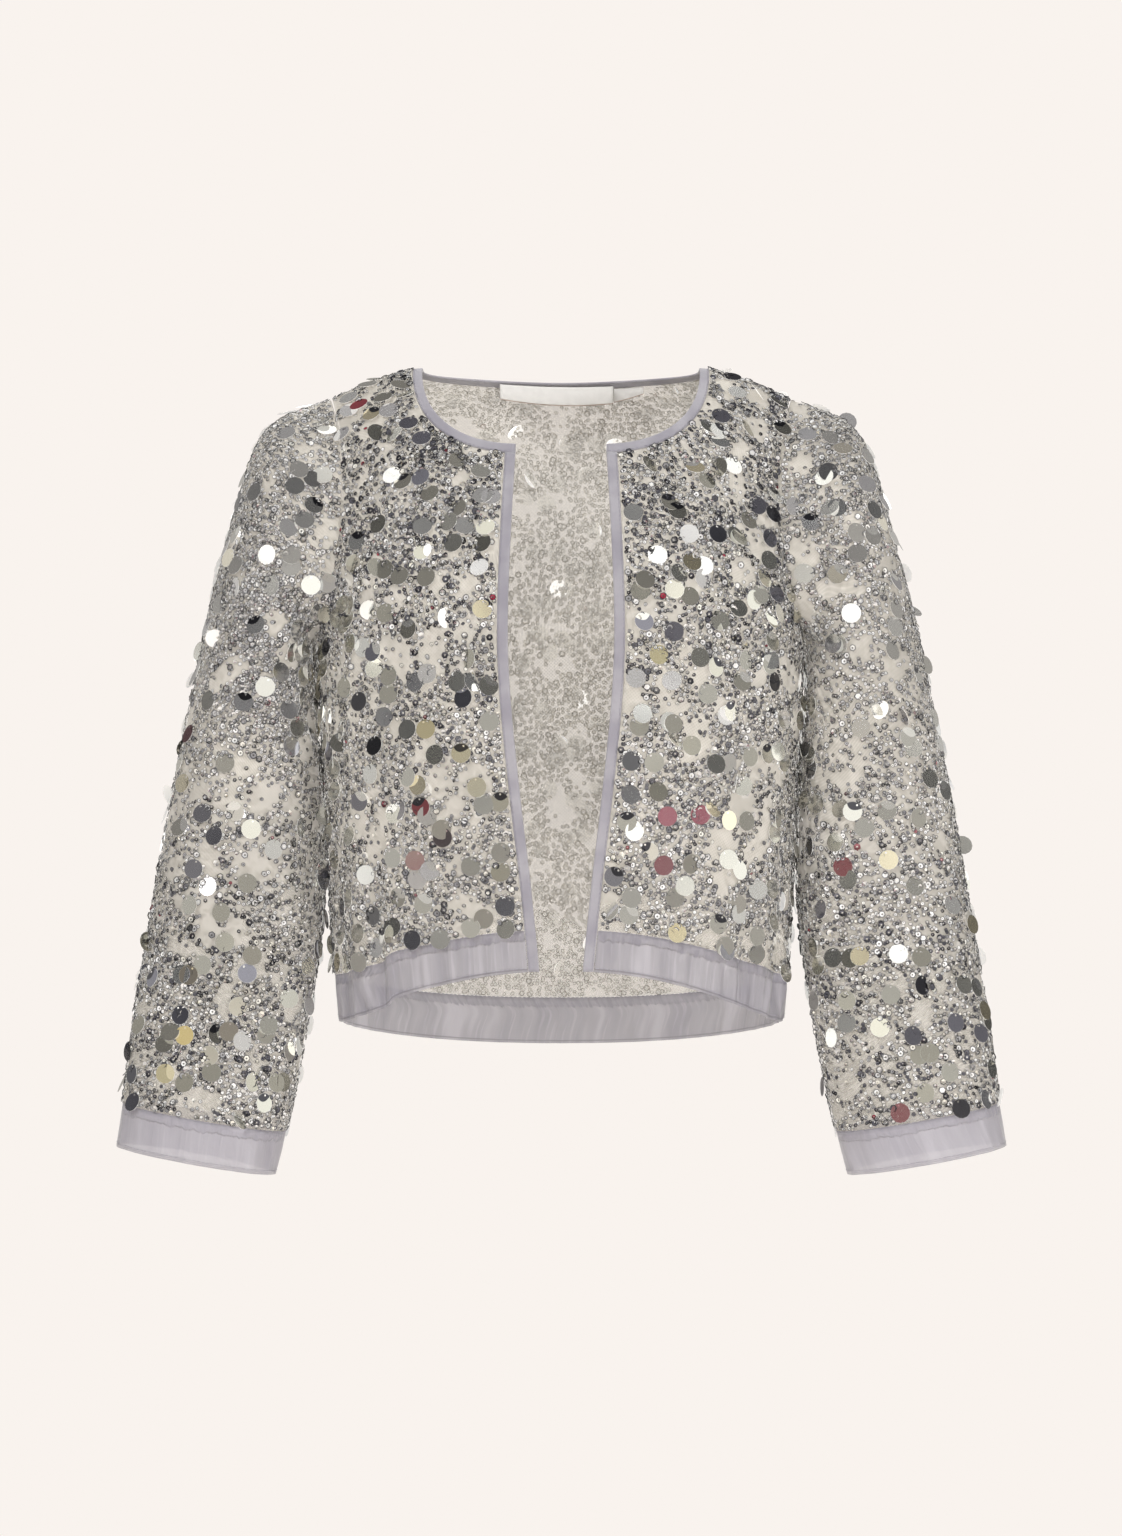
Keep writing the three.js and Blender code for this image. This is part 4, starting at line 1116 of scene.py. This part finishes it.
def net_material(s, scene):
    """Fine net, half see-through: two crossed sets of slanting threads in a cloudy tone, with painted shade
    that darkens it low down.
    """
    cloth = scene.bolero_cloth
    uv, place = s.on_cloth(), s.in_space()
    scale = 1 / cloth.mesh_pitch / 20 * 2 * math.pi
    lines = []
    for turn in (math.radians(48), math.radians(-42)):
        turned = s.node("Mapping", {"Vector": uv, "Rotation": (0, 0, turn)}).outputs[0]
        wave = s.node("TexWave", {"Vector": turned, "Scale": scale, "Distortion": 0.3})
        lines.append(wave.outputs["Fac"])
    threads = s.math("MAXIMUM", *lines)
    base = tuple(cloth.net_colour)
    tone = s.blend(s.ramp(s.noise(place, 14.0, 3.0), 0.35, 0.7), toned(base, 0.74), base)
    # Painted shade: the net darkens low down.
    tone = s.blend(s.ramp(s.parts(place)[2], -0.27, -0.43), tone, toned(base, 0.62), 0.85)
    tone = s.blend(s.ramp(threads, 0.4, 0.85), toned(base, 0.72), tone, 0.8)
    s.surface(
        tone, 0.8, Specular_IOR_Level=0.2, Normal=s.bumps(threads, 0.25, 0.0002), Alpha=cloth.net_cover,
        Sheen_Weight=0.15, Sheen_Roughness=0.5,
    )


def sheer_material(s, scene):
    """Organza of the gathered bands, with painted light making it lighter on the cuffs. Along the top runs
    the seam allowance, darker and puckered, with painted shade in the hollows of its puckers, then come soft
    upright streaks of uneven width, painted light and shade of the gathers whose lightest parts are a painted
    sheen, and a stitched line stands just over the folded edge."""
    cloth = scene.bolero_cloth
    uv = s.on_cloth()
    broad, fine, gathers = (
        s.noise(s.node("Mapping", {"Vector": uv, "Scale": (across, up, 1)}).outputs[0], 1.0, detail)
        for across, up, detail in ((48, 9, 2.0), (330, 22, 3.0), (260, 70, 2.0))
    )
    up = s.parts(uv)[1]
    pale, shade = tuple(cloth.sheer_colour), tuple(cloth.sheer_shade)
    middling = tuple((a + b) / 2 for a, b in zip(pale, shade))
    # Painted light and shade of the gathers: soft upright streaks from a middling tone to pale, and a painted
    # sheen, lighter still, on the brightest.
    bright = tuple(min(c * 1.35, 1) for c in pale)
    tone = s.blend(s.ramp(broad, 0.34, 0.5), middling, pale)
    tone = s.blend(s.ramp(broad, 0.5, 0.66), tone, bright, 0.8)
    tone = s.blend(s.ramp(fine, 0.5, 0.7), tone, bright, 0.5)
    ragged = s.plus(s.read("rim"), s.times(s.less(gathers, 0.5), 0.006))
    seam = s.ramp(ragged, SEAM_ALLOWANCE + 0.0008, SEAM_ALLOWANCE - 0.0006)
    seam = s.times(seam, s.above(up, 2 * SEAM_ALLOWANCE))
    # Painted shade: the hollows of the seam allowance's puckers are darker than their ridges.
    tone = s.blend(seam, tone, s.blend(s.ramp(gathers, 0.38, 0.62), shade, middling), 0.85)
    edge = s.math("ABSOLUTE", s.less(up, FOLD_STITCH_UP))
    tone = s.blend(s.ramp(edge, 0.0008, 0.0003), tone, toned(shade, 0.7), 0.7)
    # Painted light: the cuffs, lowest of the bands, made lighter.
    tone = s.blend(s.ramp(s.parts(s.in_space())[2], -0.49, -0.51), tone, bright, 0.5)
    height = s.plus(s.times(broad, 2.0), s.times(fine, 0.5))
    height = s.plus(height, s.times(s.times(gathers, seam), 1.2))
    s.surface(
        tone, 0.46, Normal=s.bumps(height, 0.9, 0.0016), Alpha=cloth.sheer_cover,
        Sheen_Weight=0.35, Sheen_Roughness=0.35,
    )


def binding_material(s, scene):
    """The narrow bindings: folded sheer cloth in cloudy tones with soft puckers."""
    cloth = scene.bolero_cloth
    place = s.in_space()
    pucker = s.noise(place, 240.0, 3.0)
    pale = toned(cloth.sheer_colour, 0.88)
    shade = tuple(0.4 * a + 0.5 * b for a, b in zip(pale, cloth.sheer_shade))
    tone = s.blend(s.ramp(s.noise(place, 40.0), 0.3, 0.7), shade, pale)
    tone = s.blend(s.ramp(pucker, 0.5, 0.8), tone, shade, 0.35)
    s.surface(tone, 0.5, Normal=s.bumps(pucker, 0.5, 0.0006), Sheen_Weight=0.3)


def satin_material(s, scene):
    """Woven satin of the label: fine cross threads, a soft shine and a brown thread along the foot."""
    uv = s.on_cloth()
    weave = s.node("TexWave", {"Vector": uv, "Scale": 500.0, "Distortion": 0.6}, bands_direction="Y")
    base = tuple(scene.bolero_cloth.label_colour)
    tone = s.blend(s.ramp(s.noise(uv, 160.0), 0.3, 0.75), toned(base, 0.94), base)
    tone = s.blend(s.ramp(s.parts(uv)[1], 0.0008, 0.0003), tone, (0.42, 0.25, 0.16), 0.8)
    s.surface(tone, 0.38, Normal=s.bumps(weave.outputs["Fac"], 0.15, 0.0002), Sheen_Weight=0.2)


def thread_material(s, scene):
    """Sewing thread, twisted: light and dark spots along it."""
    shade = tuple(scene.bolero_cloth.sheer_shade)
    s.surface(s.blend(s.noise(s.in_space(), 2400.0), toned(shade, 0.75), toned(shade, 1.35)), 0.65)


def cup_material(s, scene):
    """Small metallised cups: the tone each is given, partly painted reflection, a pale thread or a hole
    darkened by painted shade in the middle, and on most a dark rim of painted shade. Half of them are clear,
    and so less of a mirror. Undersides are pale, with a painted glow that stands for light from behind,
    inside a dark ring. The spot holds the reach, 0 in the middle and 1 at the rim, a draw for each cup, and 1
    in the middle of the underside."""
    reach, draw, below = s.parts(s.read("spot", "Vector"))
    # Painted shade: a dark outline round the rim of most cups.
    rim = s.times(s.ramp(reach, 0.68, 0.84), s.above(draw, 0.15))
    tone = s.blend(rim, s.read("shade", "Color"), (0.03, 0.03, 0.035), 0.9)
    # In the middle a pale thread on most cups, and on the rest a hole darkened by painted shade.
    thread = s.blend(s.above(draw, 0.62), (0.85, 0.83, 0.78), (0.07, 0.065, 0.06))
    tone = s.blend(s.ramp(reach, 0.34, 0.24), tone, thread, 0.85)
    under = s.ramp(below, 0.36, 0.46)
    tone = s.blend(under, tone, (0.77, 0.765, 0.75))
    metal = s.times(s.less(1.0, under), s.less(0.9, s.times(s.above(draw, 0.5), 0.62)))
    # Painted glow on the undersides, standing for light from behind.
    s.surface(tone, 0.22, Metallic=metal, Emission_Strength=s.times(under, 0.3))
    s.owner.cycles.emission_sampling = "NONE"


def disc_material(s, scene):
    """Large flat discs: a mirror of the tone each is given, partly painted reflection, some with a painted
    reflection in a second tone past a bowed line, a bright dot of thread at the hole and a thin light rim.
    Their undersides are pale and dull, with a painted glow that stands for light from behind. The spot holds
    the place on the disc, from -1 to 1 each way, and a draw for each disc, below nought on the underside."""
    x, y, draw = s.parts(s.read("spot", "Vector"))
    # Painted reflection: on a fifth of the discs a second tone, dark or pale, past a bowed line.
    bow = s.plus(y, s.times(s.less(draw, 0.88), s.times(x, 9.0)))
    bow = s.plus(bow, s.times(s.times(x, x), -0.8))
    split = s.times(s.ramp(bow, 0.12, 0.17), s.above(draw, 0.8))
    second = s.blend(s.above(draw, 0.9), (0.07, 0.07, 0.08), (0.92, 0.92, 0.88))
    tone = s.blend(split, s.read("shade", "Color"), second)
    tone = s.blend(s.ramp(s.far(x, y), 0.93, 0.97), tone, (0.8, 0.8, 0.78), 0.4)
    tone = s.blend(s.ramp(s.far(x, s.less(y, 0.76)), 0.12, 0.08), tone, (0.95, 0.93, 0.9))
    under = s.math("LESS_THAN", draw, 0.0)
    tone = s.blend(under, tone, (0.78, 0.76, 0.72))
    # Painted glow on the undersides, much stronger on a few, standing for light from behind.
    glow = s.times(under, s.plus(0.38, s.times(s.math("LESS_THAN", draw, -0.93), 0.9)))
    s.surface(tone, 0.1, Metallic=s.times(s.less(1.0, under), 0.9), Emission_Strength=glow)
    s.owner.cycles.emission_sampling = "NONE"


def backdrop_material(s, scene):
    """Floor and backdrop: the picture's plain colour to the eye, and a pale surface to the light."""
    colour = (*scene.bolero_stage.backdrop, 1)
    seen = s.node("Emission", {"Color": colour}).outputs[0]
    lit = s.node("BsdfDiffuse", {"Color": colour}).outputs[0]
    ray = s.node("LightPath").outputs["Is Camera Ray"]
    mix = s.node("MixShader", {0: ray, 1: lit, 2: seen}).outputs[0]
    s.node("OutputMaterial", {"Surface": mix})


MATERIALS = {
    "fine_net": net_material,
    "sheer_band": sheer_material,
    "sheer_binding": binding_material,
    "label_satin": satin_material,
    "sewing_thread": thread_material,
    "sequin_cups": cup_material,
    "sequin_discs": disc_material,
    "backdrop": backdrop_material,
}


def kept_material(name):
    """The material of that name, made by its function the first time."""
    found = bpy.data.materials.get(name)
    if found is None:
        found = bpy.data.materials.new(name)
        MATERIALS[name](Shader(found), bpy.context.scene)
    return found


def room_light(world, stage):
    """The plain backdrop to the eye. To all else a room: its walls' tone low down, a darker ceiling, and
    soft dark and bright patches that give the sequins something to mirror."""
    s = Shader(world)
    way = s.node("TexCoord").outputs["Generated"]
    patch = s.noise(way, 3.4, 1.0)
    tone = s.blend(s.ramp(s.parts(way)[2], 0.1, 0.75), tuple(stage.room), tuple(stage.ceiling))
    tone = s.blend(s.ramp(patch, 0.47, 0.42), tone, (0.03, 0.03, 0.035))
    tone = s.blend(s.ramp(patch, 0.615, 0.67), tone, (1.4, 1.38, 1.32))
    tone = s.blend(s.ramp(s.noise(way, 15.0, 0.0), 0.765, 0.785), tone, (4.0, 3.95, 3.85))
    for direction, width, colour in WARM_PATCHES:
        facing = s.node("VectorMath", {0: way, 1: direction}, operation="DOT_PRODUCT").outputs["Value"]
        tone = s.blend(s.ramp(facing, width, width + 0.003, "LINEAR"), tone, colour)
    plain = s.node("Background", {"Color": (*stage.backdrop, 1)}).outputs[0]
    around = s.node("Background", {"Color": tone}).outputs[0]
    ray = s.node("LightPath").outputs["Is Camera Ray"]
    both = s.node("MixShader", {0: ray, 1: around, 2: plain}).outputs[0]
    s.node("OutputWorld", {"Surface": both})


def aim(direction):
    """Euler angles that turn a lamp's -Z to a direction, its Y staying upright."""
    x, y, z = direction / np.linalg.norm(direction)
    return (math.acos(max(-1.0, min(1.0, -z))), 0.0, math.atan2(y, x) - math.pi / 2)


def area_light(name, place, size, power):
    """A soft light that faces the bolero, seen in no mirror: the sequins mirror the room alone."""
    data = bpy.data.lights.new(name, "AREA")
    data.shape = "RECTANGLE"
    data.size, data.size_y = size
    data.energy = power
    lamp = bpy.data.objects.new(name, data)
    lamp.location = place
    lamp.rotation_euler = aim(np.array(LAMP_TARGET, float) - np.array(place, float))
    lamp.visible_glossy = False
    bpy.context.collection.objects.link(lamp)


GRIDS = {}


def cloth_grid(node):
    """The outer face of a net cloth, worked out once, and whether it is a tube."""
    if node not in GRIDS:
        kind, _, hand = node.partition("_")
        side = SIDES.get(hand, 1)
        if kind == "sleeve":
            tube = sleeve_tube(side, SLEEVE_START, CUFF_SECTION, SLEEVE_GRID)
            GRIDS[node] = (turned_out(tube, sleeve_middle(side)), True)
        else:
            GRIDS[node] = (turned_out(front_panel(side) if hand else back_panel(), CHEST), False)
    return GRIDS[node]


NET = ("net", "fine_net", "net")
BAND = ("sheer", "sheer_band", "organza")
BINDING = ("sheer", "sheer_binding", "organza")
SATIN = ("satin", "label_satin", "satin")


class BOLERO_OT_fronts_and_back(bpy.types.Operator):
    """Makes the two fronts and the back of net"""

    bl_idname = "bolero.fronts_and_back"
    bl_label = "Fronts and back"

    def execute(self, context):
        wall = context.scene.bolero_cloth.net_wall
        for node in NET_CLOTHS[:3]:
            sew_cloth(node, NET, cloth_grid(node)[0], wall)
        return {"FINISHED"}


class BOLERO_OT_sleeves(bpy.types.Operator):
    """Makes the two sleeves of net"""

    bl_idname = "bolero.sleeves"
    bl_label = "Sleeves"

    def execute(self, context):
        wall = context.scene.bolero_cloth.net_wall
        for name in SIDES:
            points = cloth_grid(f"sleeve_{name}")[0]
            sew_cloth(f"sleeve_{name}", NET, points, wall, True)
        return {"FINISHED"}


class BOLERO_OT_bands(bpy.types.Operator):
    """Makes the hem bands and cuff bands of folded sheer cloth"""

    bl_idname = "bolero.bands"
    bl_label = "Hem and cuff bands"

    def execute(self, context):
        wall = context.scene.bolero_cloth.band_wall
        sew_cloth("back_hem_band", BAND, back_hem_band(), wall)
        for name, side in SIDES.items():
            sew_cloth(f"front_hem_band_{name}", BAND, front_hem_band(side), wall)
            sew_cloth(f"cuff_band_{name}", BAND, cuff_band(side), wall, True)
        return {"FINISHED"}


class BOLERO_OT_bindings(bpy.types.Operator):
    """Makes the neck binding and the front bindings"""

    bl_idname = "bolero.bindings"
    bl_label = "Bindings"

    def execute(self, context):
        wall = context.scene.bolero_cloth.binding_wall
        depth = context.scene.bolero_cloth.binding_depth / MM
        sew_cloth("neck_binding", BINDING, folded(neck_binding(), depth), wall)
        for name, side in SIDES.items():
            points = folded(front_binding(side), depth)
            sew_cloth(f"front_binding_{name}", BINDING, points, wall)
        return {"FINISHED"}


class BOLERO_OT_labels(bpy.types.Operator):
    """Makes the blank neck label and the blank size tab"""

    bl_idname = "bolero.labels"
    bl_label = "Blank label and tab"

    def execute(self, context):
        wall = context.scene.bolero_cloth.label_wall
        for node, tab in (("neck_label", LABEL), ("size_tab", SIZE_TAB)):
            sew_cloth(node, SATIN, neck_tab(tab), wall, allowance=TAB_ALLOWANCE)
        return {"FINISHED"}


class BOLERO_OT_cups(bpy.types.Operator):
    """Sews the small cup sequins on every net cloth"""

    bl_idname = "bolero.cups"
    bl_label = "Cup sequins"

    def execute(self, context):
        for k, node in enumerate(NET_CLOTHS):
            sew_cups(node, context.scene.bolero_sequins.seed + 100 * k)
        return {"FINISHED"}


class BOLERO_OT_discs(bpy.types.Operator):
    """Sews the large flat discs on every net cloth"""

    bl_idname = "bolero.discs"
    bl_label = "Flat discs"

    def execute(self, context):
        for k, node in enumerate(NET_CLOTHS):
            sew_discs(node, context.scene.bolero_sequins.seed + 1000 + 100 * k)
        return {"FINISHED"}


class BOLERO_OT_stitches(bpy.types.Operator):
    """Sews the rows of stitches on bands and bindings"""

    bl_idname = "bolero.stitches"
    bl_label = "Stitches"

    def execute(self, context):
        lines = [grid_line(back_hem_band(), row_share=share) for share in BAND_STITCHES]
        lines.append(grid_line(neck_binding(), column_share=BINDING_STITCHES))
        for side in SIDES.values():
            for band, closed in ((front_hem_band(side), False), (cuff_band(side), True)):
                lines += [grid_line(band, row_share=share, closed=closed) for share in BAND_STITCHES]
            lines.append(grid_line(front_binding(side), column_share=BINDING_STITCHES))
        runs = [stitch_run(*line) for line in lines]
        places, *axes = (np.concatenate([run[k] for run in runs]) for k in range(4))
        shape = stitch_shape(STITCH_LENGTH, STITCH_WIDTH)
        mesh = copies_mesh("stitches", shape, places, axes, np.ones(len(places)))
        add_piece("stitches", mesh, "sewing_thread")
        return {"FINISHED"}


class BOLERO_OT_stage(bpy.types.Operator):
    """Makes the camera, the pale floor, the room's light and the soft lamps"""

    bl_idname = "bolero.stage"
    bl_label = "Stage"

    def execute(self, context):
        stage = context.scene.bolero_stage
        context.scene.view_settings.view_transform = "Standard"
        data = bpy.data.cameras.new("camera")
        data.sensor_fit = "VERTICAL"
        data.sensor_height = SENSOR_HEIGHT
        data.lens = SENSOR_HEIGHT * stage.distance / stage.frame_height
        camera = bpy.data.objects.new("camera", data)
        camera.location = (0, -stage.distance, stage.eye_height)
        camera.rotation_euler = (math.pi / 2, 0, 0)
        context.collection.objects.link(camera)
        context.scene.camera = camera

        mesh = bpy.data.meshes.new("floor")
        corners = [(x * FLOOR_REACH, y * FLOOR_REACH, stage.floor_height) for y in (-1, 1) for x in (-1, 1)]
        fill_mesh(mesh, np.array(corners), np.array([[0, 1, 3, 2]]))
        floor = bpy.data.objects.new("floor", mesh)
        mesh.materials.append(kept_material("backdrop"))
        context.collection.objects.link(floor)

        world = bpy.data.worlds.new("room")
        room_light(world, stage)
        context.scene.world = world
        for lamp in LAMPS:
            area_light(*lamp)
        return {"FINISHED"}


STEPS = [
    BOLERO_OT_stage,
    BOLERO_OT_fronts_and_back,
    BOLERO_OT_sleeves,
    BOLERO_OT_bands,
    BOLERO_OT_bindings,
    BOLERO_OT_labels,
    BOLERO_OT_cups,
    BOLERO_OT_discs,
    BOLERO_OT_stitches,
]
GROUPS = {"bolero_cloth": BoleroCloth, "bolero_sequins": BoleroSequins, "bolero_stage": BoleroStage}


class BOLERO_PT_panel(bpy.types.Panel):
    """Lists the bolero's sizes, colours and steps"""

    bl_label = "Bolero"
    bl_idname = "BOLERO_PT_panel"
    bl_space_type = "VIEW_3D"
    bl_region_type = "UI"
    bl_category = "Bolero"

    def draw(self, context):
        for name in GROUPS:
            group = getattr(context.scene, name)
            box = self.layout.box()
            for setting in group.__annotations__:
                box.prop(group, setting)
        for step in STEPS:
            self.layout.operator(step.bl_idname)


def register():
    """Registers the property groups, the steps and the panel."""
    for name, group in GROUPS.items():
        bpy.utils.register_class(group)
        setattr(bpy.types.Scene, name, bpy.props.PointerProperty(type=group))
    for step in STEPS:
        bpy.utils.register_class(step)
    bpy.utils.register_class(BOLERO_PT_panel)


def unregister():
    """Takes them all away again, in the opposite order."""
    bpy.utils.unregister_class(BOLERO_PT_panel)
    for step in reversed(STEPS):
        bpy.utils.unregister_class(step)
    for name, group in reversed(GROUPS.items()):
        delattr(bpy.types.Scene, name)
        bpy.utils.unregister_class(group)


def main():
    """Makes the whole bolero on its stage."""
    register()
    for step in STEPS:
        group, name = step.bl_idname.split(".")
        getattr(getattr(bpy.ops, group), name)()


if __name__ == "__main__":
    main()
